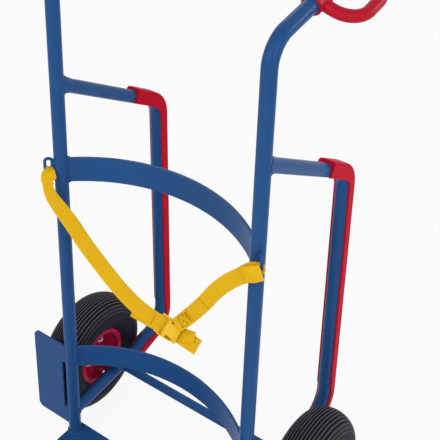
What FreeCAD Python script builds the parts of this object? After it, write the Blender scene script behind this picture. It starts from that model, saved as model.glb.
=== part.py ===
import FreeCAD, Part
import math
import os

import Sketcher

Vector = FreeCAD.Vector
Rotation = FreeCAD.Rotation
Placement = FreeCAD.Placement

# Drum trolley. Millimetres, +Z up. The origin is on the floor, midway between the two uprights,
# +X runs from the left upright to the right one and +Y points back, away from the drum.
SIZES = [
    # welded tube frame
    ("tube_diameter", 25.0),
    ("tube_wall", 2.0),
    ("tube_bend_radius", 48.0),
    ("upright_spacing", 408.0),
    ("bend_start_height", 1004.0),
    ("handle_tilt", 79.0),
    ("handle_length", 186.0),
    ("weld_gap", 0.2),
    ("cut_overrun", 20.0),
    # bowed crossbars that cradle the drum
    ("bar_height", 48.0),
    ("bar_thickness", 5.0),
    ("bar_end_lead", 6.7),
    ("upper_bar_height", 679.0),
    ("upper_bar_bow", 88.0),
    ("lower_bar_height", 243.0),
    ("lower_bar_bow", 89.0),
    # foot plate, cranked down to the floor at its front lip
    ("plate_thickness", 5.0),
    ("plate_overhang", 11.0),
    ("plate_width", "=upright_spacing + 2 * plate_overhang"),
    ("plate_level", 41.0),
    ("plate_back", 22.0),
    ("plate_flat", 75.0),
    ("plate_slope_end", 240.0),
    ("plate_front", 301.6),
    # wheel guard plates
    ("guard_thickness", 4.0),
    ("guard_lead", 10.0),
    ("guard_bottom", 64.0),
    ("guard_top", 268.0),
    ("guard_reach", 89.5),
    ("guard_corner", 12.0),
    ("guard_tab", 42.0),
    ("guard_slot", 4.6),
    # skid tubes behind the wheels
    ("arm_height", 850.0),
    ("skid_top_height", 697.0),
    ("skid_top_setback", 272.0),
    ("skid_bottom_height", 138.0),
    ("skid_bottom_setback", 290.0),
    ("strut_end_setback", 190.0),
    ("strut_drop", 9.0),
    # plastic slide strips on the skid tubes
    ("strip_wall", 3.0),
    ("strip_back", 5.0),
    ("strip_lip", 3.0),
    ("strip_corner", 5.0),
    ("strip_clearance", 0.15),
    ("strip_arm_run", 72.0),
    ("strip_end_gap", 14.0),
    # blind rivets that hold the strips
    ("rivet_count", 4),
    ("rivet_first", 44.0),
    ("rivet_last", 71.0),
    ("rivet_diameter", 4.8),
    ("rivet_head_diameter", 9.0),
    ("rivet_head_height", 1.6),
    ("rivet_recess_depth", 2.2),
    ("rivet_recess_clearance", 1.0),
    ("rivet_grip", 2.5),
    # cross tube between the skid tubes
    ("cross_tube_diameter", 18.0),
    ("cross_tube_setback", 149.0),
    # stub axles, collars, washers and cotter pins
    ("axle_diameter", 20.0),
    ("axle_setback", 126.0),
    ("axle_root", 8.0),
    ("axle_stub", 16.0),
    ("collar_diameter", 32.0),
    ("collar_width", 6.0),
    ("washer_diameter", 34.0),
    ("washer_thickness", 3.0),
    ("washer_clearance", 0.2),
    ("cotter_diameter", 4.0),
    ("cotter_length", 34.0),
    ("cotter_bend", 9.0),
    ("side_play", 0.3),
    # wheels
    ("tyre_diameter", 258.0),
    ("tyre_width", 86.0),
    ("tyre_wall", 6.0),
    ("bead_clearance", 0.3),
    ("tread_groove_count", 11),
    ("tread_groove_pitch", 6.0),
    ("tread_groove_width", 1.6),
    ("tread_groove_depth", 2.4),
    ("wheel_outset", 62.5),
    ("air_tube_wall", 2.0),
    ("air_tube_clearance", 0.5),
    ("rim_diameter", 124.0),
    ("rim_width", 62.0),
    ("rim_sheet", 2.2),
    ("rim_seat_diameter", 107.0),
    ("rim_seat_width", 9.0),
    ("rim_dish_diameter", 82.0),
    ("hub_diameter", 34.0),
    ("hub_wall", 3.0),
    ("hub_length", 70.0),
    ("hub_weld_clearance", 0.1),
    ("bearing_length", 18.0),
    ("bearing_clearance", 0.05),
    ("rim_bolt_count", 4),
    ("rim_bolt_circle", 57.0),
    ("rim_bolt_diameter", 8.0),
    ("rim_bolt_flats", 13.0),
    ("rim_bolt_head", 5.3),
    ("rim_nut_height", 6.5),
    ("rim_bolt_end", 4.0),
    ("rim_bolt_clearance", 0.2),
    ("valve_diameter", 7.0),
    ("valve_radius", 44.0),
    ("valve_length", 30.0),
    ("valve_root", 3.0),
    ("valve_root_diameter", 5.0),
    ("valve_hole_clearance", 0.4),
    # hand grips with a knuckle guard
    ("grip_diameter", 34.0),
    ("grip_length", 138.0),
    ("grip_start", 68.0),
    ("grip_end_wall", 5.0),
    ("grip_clearance", 0.1),
    ("grip_roll", 20.0),
    ("guard_loop_diameter", 20.0),
    ("guard_loop_reach", 67.0),
    ("guard_loop_inset", 16.0),
    ("guard_loop_radius", 40.0),
    # wire rings for the strap
    ("ring_wire", 5.6),
    ("ring_height", 32.0),
    ("ring_reach", 18.4),
    ("ring_corner", 6.0),
    ("ring_level", 689.6),
    # lashing strap and its cam buckle
    ("strap_width", 27.0),
    ("strap_thickness", 2.0),
    ("strap_lead", 31.95),
    ("strap_gap", 0.3),
    ("buckle_centre_side", 58.0),
    ("buckle_centre_height", 480.6),
    ("buckle_tilt", 8.0),
    ("buckle_roll", 45.0),
    ("buckle_length", 44.0),
    ("buckle_width", 34.0),
    ("buckle_plate", 2.0),
    ("buckle_ear_height", 11.0),
    ("buckle_ear_length", 24.0),
    ("buckle_pin_height", 7.4),
    ("buckle_pin_diameter", 5.0),
    ("buckle_pin_clearance", 0.06),
    ("buckle_side_play", 0.5),
    ("cam_radius", 4.6),
    ("lever_length", 25.0),
    ("lever_width", 21.0),
    ("lever_thickness", 2.4),
    ("lever_lip", 5.0),
    ("pad_length", 136.0),
    ("pad_tail", 61.0),
    ("pad_width", 27.0),
    ("pad_thickness", 2.4),
]

doc = FreeCAD.newDocument("drum_trolley")
sheet = doc.addObject("Spreadsheet::Sheet", "sizes")
for row, (alias, amount) in enumerate(SIZES, start=1):
    sheet.set(f"A{row}", alias)
    sheet.set(f"B{row}", str(amount))
    sheet.setAlias(f"B{row}", alias)
doc.recompute()

nodes = []


def size(alias):
    return float(sheet.get(alias))


def bind(item, **cells):
    for name, formula in cells.items():
        item.setExpression(name, formula)


def keep(item, label):
    item.Label = label
    nodes.append(item)
    return item


def at(x=0.0, y=0.0, z=0.0, turn=None):
    return Placement(Vector(x, y, z), turn or Rotation())


# Turns that carry a cylinder's local Z axis onto the X axis and onto the Y axis.
ALONG_X = Rotation(Vector(0, 1, 0), 90)
ALONG_Y = Rotation(Vector(1, 0, 0), -90)


def new_body(name, place=None):
    body = doc.addObject("PartDesign::Body", name)
    body.Placement = place or at()
    return body


def new_sketch(body, name, role, offset=0.0):
    sketch = body.newObject("Sketcher::SketchObject", name)
    plane = [item for item in body.Origin.OriginFeatures if item.Role == role][0]
    sketch.AttachmentSupport = [(plane, "")]
    sketch.MapMode = "FlatFace"
    sketch.AttachmentOffset = at(z=offset)
    return sketch


def draw_circle(sketch, formula, x=0.0, y=0.0, reserve=1.0):
    """Adds a circle whose radius is bound to a formula of the sheet."""
    index = sketch.addGeometry(Part.Circle(Vector(x, y, 0), Vector(0, 0, 1), reserve))
    number = sketch.addConstraint(Sketcher.Constraint("Radius", index, reserve))
    sketch.setExpression(f"Constraints[{number}]", formula)
    sketch.addConstraint(Sketcher.Constraint("Block", index))


def draw_steps(sketch, start, steps, closed=True):
    """Draws lines and arcs from start: a step is (end,) for a line and (middle, end) for an arc."""
    here = start
    for step in steps:
        end = step[-1]
        if len(step) == 1:
            sketch.addGeometry(Part.LineSegment(Vector(*here, 0), Vector(*end, 0)))
        else:
            sketch.addGeometry(Part.Arc(Vector(*here, 0), Vector(*step[0], 0), Vector(*end, 0)))
        here = end
    if closed:
        sketch.addGeometry(Part.LineSegment(Vector(*here, 0), Vector(*start, 0)))


def round_corners(points, radii, closed=False):
    """Start point and steps of a run of lines whose corners are rounded by tangent arcs."""
    count = len(points)
    steps = []
    start = points[0]
    last = count if closed else count - 1
    for number in range(0 if closed else 1, last):
        before = Vector(*points[number - 1], 0)
        corner = Vector(*points[number], 0)
        after = Vector(*points[(number + 1) % count], 0)
        radius = radii[number] if isinstance(radii, (list, tuple)) else radii
        inward = (before - corner).normalize()
        outward = (after - corner).normalize()
        half_turn = (math.pi - inward.getAngle(outward)) / 2
        if radius <= 0 or half_turn <= 0:
            entry = leave = (corner.x, corner.y)
            arc = None
        else:
            reach = radius * math.tan(half_turn)
            entry_point = corner + inward * reach
            leave_point = corner + outward * reach
            bisector = (inward + outward).normalize()
            middle = corner + bisector * (radius / math.cos(half_turn) - radius)
            entry = (entry_point.x, entry_point.y)
            leave = (leave_point.x, leave_point.y)
            arc = (middle.x, middle.y)
        if closed and number == 0:
            start = leave
            first = (entry, arc, leave)
            continue
        steps.append((entry,))
        if arc:
            steps.append((arc, leave))
    if closed:
        steps.append((first[0],))
        if first[1]:
            steps.append((first[1], first[2]))
    else:
        steps.append((points[-1],))
    return start, steps


def pad(body, sketch, formula, symmetric=False, back=False):
    item = body.newObject("PartDesign::Pad", sketch.Name + "_pad")
    item.Profile = sketch
    item.SideType = "Symmetric" if symmetric else "One side"
    item.Reversed = back
    bind(item, Length=formula)
    return item


def cut_through(body, sketch):
    """Cuts the sketch right through the body, both ways from its plane."""
    item = body.newObject("PartDesign::Pocket", sketch.Name + "_pocket")
    item.Profile = sketch
    item.SideType = "Symmetric"
    item.Type = "ThroughAll"
    return item


def sweep(body, profile, path, steps):
    item = body.newObject("PartDesign::AdditivePipe", path.Name + "_pipe")
    item.Profile = profile
    item.Spine = (path, [f"Edge{number + 1}" for number in range(steps)])
    return item


def spin(body, sketch, cutter=False):
    kind = "PartDesign::Groove" if cutter else "PartDesign::Revolution"
    item = body.newObject(kind, sketch.Name + "_turned")
    item.Profile = sketch
    item.ReferenceAxis = (sketch, ["H_Axis"])
    item.Angle = 360
    return item


def cylinder(name, radius, length, place, shift=0.0):
    """Cylinder along the local Z of its place, bound to the sheet; shift slides it along that axis."""
    item = doc.addObject("Part::Cylinder", name)
    bind(item, Radius=radius, Height=length)
    item.Placement = place.multiply(at(z=shift))
    return item


def join(kind, name, base, tool):
    item = doc.addObject("Part::" + kind, name)
    item.Base = base
    item.Tool = tool
    return item


def group(name, items):
    item = doc.addObject("Part::Compound", name)
    item.Links = items
    return item


SIDES = (("left", -1), ("right", 1))
half_spacing = size("upright_spacing") / 2
tube_radius = size("tube_diameter") / 2
bend = size("tube_bend_radius")
axle_height = size("tyre_diameter") / 2
TUBE_RADIUS = "sizes.tube_diameter / 2"
TUBE_BORE = "sizes.tube_diameter / 2 - sizes.tube_wall"
TUBE_SEAT = "sizes.tube_diameter / 2 + sizes.weld_gap"


def tube_profile(sketch, x=0.0, y=0.0):
    draw_circle(sketch, TUBE_RADIUS, x, y, tube_radius)
    draw_circle(sketch, TUBE_BORE, x, y, tube_radius - size("tube_wall"))


# Uprights: round tube standing on the foot plate, bent back at the top to carry the hand grips.
tilt = math.radians(size("handle_tilt"))
handle_way = Vector(0, math.sin(tilt), math.cos(tilt))
handle_corner = size("bend_start_height") + bend * math.tan(tilt / 2)
handle_reach = bend * math.tan(tilt / 2) + size("handle_length")


def handle_point(side, distance):
    """Point on a handle's axis, measured from the end of its bend."""
    along = bend * math.tan(tilt / 2) + distance
    return Vector(side * half_spacing, 0, handle_corner) + handle_way * along


for name, side in SIDES:
    body = new_body(f"{name}_upright_body", at(side * half_spacing))
    path = new_sketch(body, f"{name}_upright_path", "YZ_Plane")
    points = [(0, size("plate_level")), (0, handle_corner),
              (handle_way.y * handle_reach, handle_corner + handle_way.z * handle_reach)]
    start, steps = round_corners(points, bend)
    draw_steps(path, start, steps, closed=False)
    profile = new_sketch(body, f"{name}_upright_profile", "XY_Plane", size("plate_level"))
    tube_profile(profile)
    doc.recompute()
    sweep(body, profile, path, len(steps))
    keep(body, f"{name}_upright")


# Crossbars: flat bar on edge, bowed backwards between the uprights and welded to their inner sides.
def crossbar(label, height, bow):
    body = new_body(label + "_body", at(z=height - size("bar_height") / 2))
    outline = new_sketch(body, label + "_outline", "XY_Plane")
    lead = -size("bar_end_lead")
    thickness = size("bar_thickness")
    radius = (bow ** 2 + half_spacing ** 2) / (2 * bow)
    back_share = (radius + thickness) / radius
    centre = lead + bow - radius
    back_end = (half_spacing * back_share, centre + (lead - centre) * back_share)
    draw_steps(outline, (-half_spacing, lead), [
        ((0, lead + bow), (half_spacing, lead)),
        (back_end,),
        ((0, lead + bow + thickness), (-back_end[0], back_end[1]))])
    doc.recompute()
    pad(body, outline, "sizes.bar_height")
    seats = new_sketch(body, label + "_seats", "XY_Plane")
    for _, side in SIDES:
        draw_circle(seats, TUBE_SEAT, side * half_spacing, 0, tube_radius)
    doc.recompute()
    cut_through(body, seats)
    keep(body, label)


crossbar("upper_crossbar", size("upper_bar_height"), size("upper_bar_bow"))
crossbar("lower_crossbar", size("lower_bar_height"), size("lower_bar_bow"))

# Foot plate: sheet that carries the uprights, cranked down in front so that its lip lies on the floor.
body = new_body("foot_plate_body")
outline = new_sketch(body, "foot_plate_outline", "YZ_Plane")
level = size("plate_level")
sheet_thickness = size("plate_thickness")
crank = math.atan2(level - sheet_thickness, size("plate_slope_end") - size("plate_flat"))
crank_shift = sheet_thickness * math.tan(crank / 2)
draw_steps(outline, (size("plate_back"), level), [
    ((-size("plate_flat"), level),),
    ((-size("plate_slope_end"), sheet_thickness),),
    ((-size("plate_front"), sheet_thickness),),
    ((-size("plate_front"), 0),),
    ((-size("plate_slope_end") + crank_shift, 0),),
    ((-size("plate_flat") + crank_shift, level - sheet_thickness),),
    ((size("plate_back"), level - sheet_thickness),)])
doc.recompute()
pad(body, outline, "sizes.plate_width", symmetric=True)
keep(body, "foot_plate")

# Wheel guards: flat plates welded to the outer sides of the uprights, in front of the tyres.
# Between the two weld tabs the inner edge stands back from the tube and leaves a slot.
for name, side in SIDES:
    body = new_body(f"{name}_guard_body", at(side * half_spacing, -size("guard_lead")))
    outline = new_sketch(body, f"{name}_guard_outline", "XZ_Plane")
    low, high = size("guard_bottom"), size("guard_top")
    inner = tube_radius / 2
    slot_edge = tube_radius + size("guard_slot")
    tab = size("guard_tab")
    points = [(inner, low), (size("guard_reach"), low), (size("guard_reach"), high), (inner, high),
              (inner, high - tab), (slot_edge, high - tab), (slot_edge, low + tab), (inner, low + tab)]
    corner = size("guard_corner")
    radii = [0, corner, corner, 0, 0, size("guard_slot") / 2, size("guard_slot") / 2, 0]
    start, steps = round_corners(points, radii, closed=True)
    turned = [tuple((side * x, z) for x, z in step) for step in steps]
    draw_steps(outline, (side * start[0], start[1]), turned, closed=False)
    doc.recompute()
    pad(body, outline, "sizes.guard_thickness", back=True)
    seat = new_sketch(body, f"{name}_guard_seat", "XY_Plane")
    draw_circle(seat, TUBE_SEAT, 0, size("guard_lead"), tube_radius)
    doc.recompute()
    cut_through(body, seat)
    keep(body, f"{name}_wheel_guard")

# Skid tubes: one bent tube on each side, welded to the upright at both ends. From the foot it runs
# back under the axle, rises behind the wheel and slopes up to the upright again. The strut under the
# axle falls a little to the front.
strut_slope = size("strut_drop") / size("axle_setback")
axle_rest = size("axle_diameter") / 2 + size("weld_gap") + tube_radius


def strut_level(setback):
    """Height of the strut's centre line at a setback. Its top lies a weld gap below the axle."""
    rise = (setback - size("axle_setback")) * strut_slope
    return axle_height - axle_rest * math.hypot(1, strut_slope) + rise


skid_points = [(0, strut_level(0)), (size("strut_end_setback"), strut_level(size("strut_end_setback"))),
               (size("skid_bottom_setback"), size("skid_bottom_height")),
               (size("skid_top_setback"), size("skid_top_height")), (0, size("arm_height"))]
run_low = Vector(0, *skid_points[2])
run_high = Vector(0, *skid_points[3])
run_way = (run_high - run_low).normalize()
outer_way = Vector(0, run_way.z, -run_way.y)
rivet_radius = "sizes.rivet_diameter / 2"
rivet_hole = "sizes.rivet_diameter / 2 + sizes.strip_clearance"
RIVET_DEPTH = "sizes.strip_back + sizes.strip_clearance + sizes.tube_wall + sizes.rivet_grip"
rivet_depth = size("strip_back") + size("strip_clearance") + size("tube_wall") + size("rivet_grip")


def rivet_places(side):
    """Frames at the strip's outer face, local Z pointing out of it, one for each rivet."""
    face = tube_radius + size("strip_clearance") + size("strip_back")
    turn = Rotation(Vector(0, 0, 1), outer_way)
    count = int(size("rivet_count"))
    pitch = ((run_high - run_low).Length - size("rivet_first") - size("rivet_last")) / (count - 1)
    places = []
    for number in range(count):
        along = size("rivet_first") + number * pitch
        point = Vector(side * half_spacing, 0, 0) + run_low + run_way * along + outer_way * face
        places.append(Placement(point, turn))
    return places


def rivet_holes(name, radius, side):
    """Cutters for the rivet shanks, through the strip's back and the near wall of the tube."""
    items = [cylinder(f"{name}_{number}", radius, RIVET_DEPTH + " + sizes.cut_overrun", place, -rivet_depth)
             for number, place in enumerate(rivet_places(side))]
    return group(name, items)


for name, side in SIDES:
    body = new_body(f"{name}_skid_body", at(side * half_spacing))
    path = new_sketch(body, f"{name}_skid_path", "YZ_Plane")
    start, steps = round_corners(skid_points, bend)
    draw_steps(path, start, steps, closed=False)
    profile = new_sketch(body, f"{name}_skid_profile", "XZ_Plane")
    tube_profile(profile, 0, strut_level(0))
    doc.recompute()
    sweep(body, profile, path, len(steps))
    seat = new_sketch(body, f"{name}_skid_seat", "XY_Plane")
    draw_circle(seat, TUBE_SEAT, 0, 0, tube_radius)
    doc.recompute()
    cut_through(body, seat)
    holes = rivet_holes(f"{name}_tube_holes", rivet_hole, side)
    keep(join("Cut", f"{name}_skid_tube_cut", body, holes), f"{name}_skid_tube")

# Slide strips: plastic U channel clipped over the outer side of each skid tube, round both bends.
# Its lips are cut away on the inside of the lower bend, and each rivet head sits in a recess.
arm_way = (Vector(0, *skid_points[3]) - Vector(0, *skid_points[4])).normalize()
arm_corner = Vector(0, *skid_points[3])
low_way = (Vector(0, *skid_points[1]) - Vector(0, *skid_points[2])).normalize()
strip_start = arm_corner - arm_way * size("strip_arm_run")
strip_end = Vector(0, *skid_points[1]) - low_way * size("strip_end_gap")
strip_turn = Rotation(Vector(0, 1, 0), arm_way)
for name, side in SIDES:
    place = Placement(strip_start + Vector(side * half_spacing, 0, 0), strip_turn)
    back_to_local = Placement(strip_start, strip_turn).inverse()
    local = [back_to_local.multVec(point) for point in (strip_start, arm_corner, run_low, strip_end)]
    body = new_body(f"{name}_strip_body", place)
    path = new_sketch(body, f"{name}_strip_path", "YZ_Plane")
    start, steps = round_corners([(point.y, point.z) for point in local], bend)
    draw_steps(path, start, steps, closed=False)
    profile = new_sketch(body, f"{name}_strip_profile", "XZ_Plane")
    bore = tube_radius + size("strip_clearance")
    wide = bore + size("strip_wall")
    top = bore + size("strip_back")
    lip = -size("strip_lip")
    round_out = size("strip_corner")
    diagonal = round_out * (1 - math.sqrt(0.5))
    draw_steps(profile, (-wide, lip), [
        ((-wide, top - round_out),),
        ((-wide + diagonal, top - diagonal), (-wide + round_out, top)),
        ((wide - round_out, top),),
        ((wide - diagonal, top - diagonal), (wide, top - round_out)),
        ((wide, lip),), ((bore, lip),), ((bore, 0),),
        ((0, bore), (-bore, 0)),
        ((-bore, lip),)])
    doc.recompute()
    sweep(body, profile, path, len(steps))
    relief = new_sketch(body, f"{name}_strip_relief", "YZ_Plane")
    to_run = (local[1] - local[2]).normalize()
    to_arm = (local[3] - local[2]).normalize()
    half_turn = (math.pi - to_run.getAngle(to_arm)) / 2
    centre = local[2] + (to_run + to_arm).normalize() * (bend / math.cos(half_turn))
    draw_circle(relief, "sizes.tube_bend_radius", centre.y, centre.z, bend)
    doc.recompute()
    cut_through(body, relief)
    holes = rivet_holes(f"{name}_strip_holes", rivet_hole, side)
    recesses = group(f"{name}_strip_recesses", [
        cylinder(f"{name}_recess_{number}", "sizes.rivet_head_diameter / 2 + sizes.rivet_recess_clearance",
                 "sizes.rivet_recess_depth + sizes.cut_overrun", place, -size("rivet_recess_depth"))
        for number, place in enumerate(rivet_places(side))])
    drilled = join("Cut", f"{name}_strip_drilled", body, holes)
    keep(join("Cut", f"{name}_strip_cut", drilled, recesses), f"{name}_slide_strip")
    rivets = []
    for number, place in enumerate(rivet_places(side)):
        stem = cylinder(f"{name}_rivet_stem_{number}", rivet_radius,
                        RIVET_DEPTH + " - sizes.rivet_recess_depth", place, -rivet_depth)
        head = cylinder(f"{name}_rivet_head_{number}", "sizes.rivet_head_diameter / 2",
                        "sizes.rivet_head_height", place, -size("rivet_recess_depth"))
        rivets.append(join("Fuse", f"{name}_rivet_{number}", stem, head))
    keep(group(f"{name}_rivets", rivets), f"{name}_strip_rivets")

# Strap rings: closed wire links welded upright to the tubes, facing outwards and to the front.
for name, side in SIDES:
    turn = Rotation(Vector(0, 0, 1), -45 if side > 0 else -135)
    body = new_body(f"{name}_ring_body", at(side * half_spacing, 0, size("ring_level"), turn))
    wire = size("ring_wire") / 2
    leg = size("ring_height") / 2 - wire
    root = tube_radius + size("weld_gap") + wire
    reach = tube_radius + size("ring_reach") - wire
    path = new_sketch(body, f"{name}_ring_path", "XZ_Plane")
    corners = [(root, -leg), (reach, -leg), (reach, leg), (root, leg)]
    start, steps = round_corners(corners, size("ring_corner"), closed=True)
    draw_steps(path, start, steps, closed=False)
    profile = new_sketch(body, f"{name}_ring_profile", "YZ_Plane", start[0])
    draw_circle(profile, "sizes.ring_wire / 2", 0, -leg, wire)
    doc.recompute()
    sweep(body, profile, path, len(steps))
    keep(body, f"{name}_strap_ring")

# Hand grips: moulded sleeve on the end of each handle, with a knuckle guard on its outer side.
for name, side in SIDES:
    roll = math.radians(size("grip_roll"))
    under = Vector(0, math.cos(tilt), -math.sin(tilt))
    lateral = Vector(side, 0, 0) * math.cos(roll) + under * math.sin(roll)
    across = handle_way.cross(lateral)
    turn = Rotation(lateral, across, handle_way, "ZXY")
    body = new_body(f"{name}_grip_body", Placement(handle_point(side, size("grip_start")), turn))
    sleeve = new_sketch(body, f"{name}_grip_sleeve", "XY_Plane")
    draw_circle(sleeve, "sizes.grip_diameter / 2", 0, 0, size("grip_diameter") / 2)
    doc.recompute()
    pad(body, sleeve, "sizes.grip_length")
    path = new_sketch(body, f"{name}_grip_path", "XZ_Plane")
    near = size("guard_loop_inset")
    far = size("grip_length") - near
    reach = size("guard_loop_reach")
    corners = [(0, near), (reach, near), (reach, far), (0, far)]
    start, steps = round_corners(corners, size("guard_loop_radius"))
    draw_steps(path, start, steps, closed=False)
    profile = new_sketch(body, f"{name}_grip_loop_profile", "YZ_Plane")
    draw_circle(profile, "sizes.guard_loop_diameter / 2", 0, near, size("guard_loop_diameter") / 2)
    doc.recompute()
    sweep(body, profile, path, len(steps))
    bore = new_sketch(body, f"{name}_grip_bore", "XY_Plane")
    draw_circle(bore, "sizes.tube_diameter / 2 + sizes.grip_clearance", 0, 0, tube_radius)
    doc.recompute()
    hole = body.newObject("PartDesign::Pocket", f"{name}_grip_hole")
    hole.Profile = bore
    hole.Reversed = True
    bind(hole, Length="sizes.grip_length - sizes.grip_end_wall")
    keep(body, f"{name}_grip")

# Cross tube: straight tube welded between the two skid tubes, behind the wheels' axles.
CROSS_RADIUS = "sizes.cross_tube_diameter / 2"
cross_back = size("cross_tube_setback")
cross_place = Placement(Vector(-half_spacing, cross_back, strut_level(cross_back)), ALONG_X)
cross_bar = cylinder("cross_tube_outside", CROSS_RADIUS, "sizes.upright_spacing", cross_place)
cross_cuts = [cylinder("cross_tube_bore", CROSS_RADIUS + " - sizes.tube_wall", "sizes.upright_spacing",
                       cross_place)]
strut_turn = Rotation(Vector(0, 0, 1), Vector(0, 1, strut_slope))
for name, side in SIDES:
    seat_place = Placement(Vector(side * half_spacing, 0, strut_level(0)), strut_turn)
    cross_cuts.append(cylinder(f"cross_tube_seat_{name}", TUBE_SEAT,
                               "sizes.cross_tube_setback + sizes.cross_tube_diameter", seat_place))
keep(join("Cut", "cross_tube_cut", cross_bar, group("cross_tube_cuts", cross_cuts)), "cross_tube")

# Stub axles: short steel bars welded across the top of the skid tubes, drilled for cotter pins.
wheel_side = half_spacing + size("wheel_outset")
hub_half = size("hub_length") / 2
hub_outer = wheel_side + hub_half
washer_inner_face = hub_outer + size("side_play")
cotter_side = washer_inner_face + size("washer_thickness") + size("cotter_diameter")
axle_end = washer_inner_face + size("axle_stub")
axle_point = Vector(0, size("axle_setback"), axle_height)


def axle_frame(x):
    """Frame on the axle line at x, local Z along +X."""
    return Placement(axle_point + Vector(x, 0, 0), ALONG_X)


AXLE_LENGTH = ("sizes.tube_diameter / 2 + sizes.axle_root + sizes.wheel_outset + sizes.hub_length / 2"
               " + sizes.side_play + sizes.axle_stub")
axle_start = half_spacing - tube_radius - size("axle_root")
for name, side in SIDES:
    axle_bar = cylinder(f"{name}_axle_bar", "sizes.axle_diameter / 2", AXLE_LENGTH,
                        axle_frame(axle_start if side > 0 else -axle_end))
    pin_place = Placement(axle_point + Vector(side * cotter_side, 0, -size("cotter_length") / 2), Rotation())
    pin_hole = cylinder(f"{name}_axle_pin_hole", "sizes.cotter_diameter / 2 + sizes.washer_clearance",
                        "sizes.cotter_length", pin_place)
    keep(join("Cut", f"{name}_axle_cut", axle_bar, pin_hole), f"{name}_axle")


def ring_on_axle(name, diameter, thickness, x, way):
    """Flat ring on the axle from x towards way."""
    start = x if way > 0 else x - size(thickness)
    outer = cylinder(f"{name}_disc", f"sizes.{diameter} / 2", f"sizes.{thickness}", axle_frame(start))
    hole = cylinder(f"{name}_hole", "sizes.axle_diameter / 2 + sizes.washer_clearance",
                    f"sizes.{thickness} + 2 * sizes.cut_overrun", axle_frame(start), -size("cut_overrun"))
    return join("Cut", f"{name}_ring", outer, hole)


# Each wheel runs between a collar welded to the axle and a washer held by a cotter pin.
for name, side in SIDES:
    collar_face = side * (wheel_side - hub_half - size("side_play"))
    keep(ring_on_axle(f"{name}_collar", "collar_diameter", "collar_width", collar_face, -side),
         f"{name}_axle_collar")
    washer_face = side * washer_inner_face
    keep(ring_on_axle(f"{name}_washer", "washer_diameter", "washer_thickness", washer_face, side),
         f"{name}_axle_washer")
    pin_spot = axle_point + Vector(side * cotter_side, 0, 0)
    body = new_body(f"{name}_cotter_body", Placement(pin_spot, Rotation()))
    half = size("cotter_length") / 2
    path = new_sketch(body, f"{name}_cotter_path", "YZ_Plane")
    corners = [(0, half), (0, -half), (size("cotter_bend"), -half)]
    start, steps = round_corners(corners, size("cotter_diameter"))
    draw_steps(path, start, steps, closed=False)
    profile = new_sketch(body, f"{name}_cotter_profile", "XY_Plane", half)
    draw_circle(profile, "sizes.cotter_diameter / 2", 0, 0, size("cotter_diameter") / 2)
    doc.recompute()
    sweep(body, profile, path, len(steps))
    keep(body, f"{name}_cotter_pin")


# Wheels. Every turned profile is drawn as distance along the axle against radius.
def turned_body(label, wheel_place, side, start, steps):
    body = new_body(label + "_body", wheel_place)
    sketch = new_sketch(body, label + "_section", "XZ_Plane")
    mirrored = [tuple((side * x, r) for x, r in step) for step in steps]
    draw_steps(sketch, (side * start[0], start[1]), mirrored)
    doc.recompute()
    spin(body, sketch)
    return body


def tyre_line(inset):
    """Points of the tyre's section from bead to bead, drawn in by inset from its outer skin."""
    half = size("tyre_width") / 2 - inset
    bead = size("rim_seat_diameter") / 2 + size("bead_clearance")
    bead_side = size("rim_width") / 2 - size("rim_sheet") - size("bead_clearance") - inset
    crown = size("tyre_diameter") / 2 - inset
    height = crown - bead
    belly_share, shoulder_share, shoulder_drop_share = 0.45, 0.78, 0.17
    foot = (bead_side, bead)
    heel = (bead_side, size("rim_diameter") / 2 + size("bead_clearance"))
    belly = (half, bead + height * belly_share)
    shoulder = (half * shoulder_share, crown - height * shoulder_drop_share)
    return foot, heel, belly, shoulder, (0, crown)


def mirror(point):
    return (-point[0], point[1])


def hexagon(name, flats, height, place):
    item = doc.addObject("Part::Prism", name)
    item.Polygon = 6
    bind(item, Circumradius=f"{flats} / sqrt(3)", Height=height)
    item.Placement = place
    return item


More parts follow.
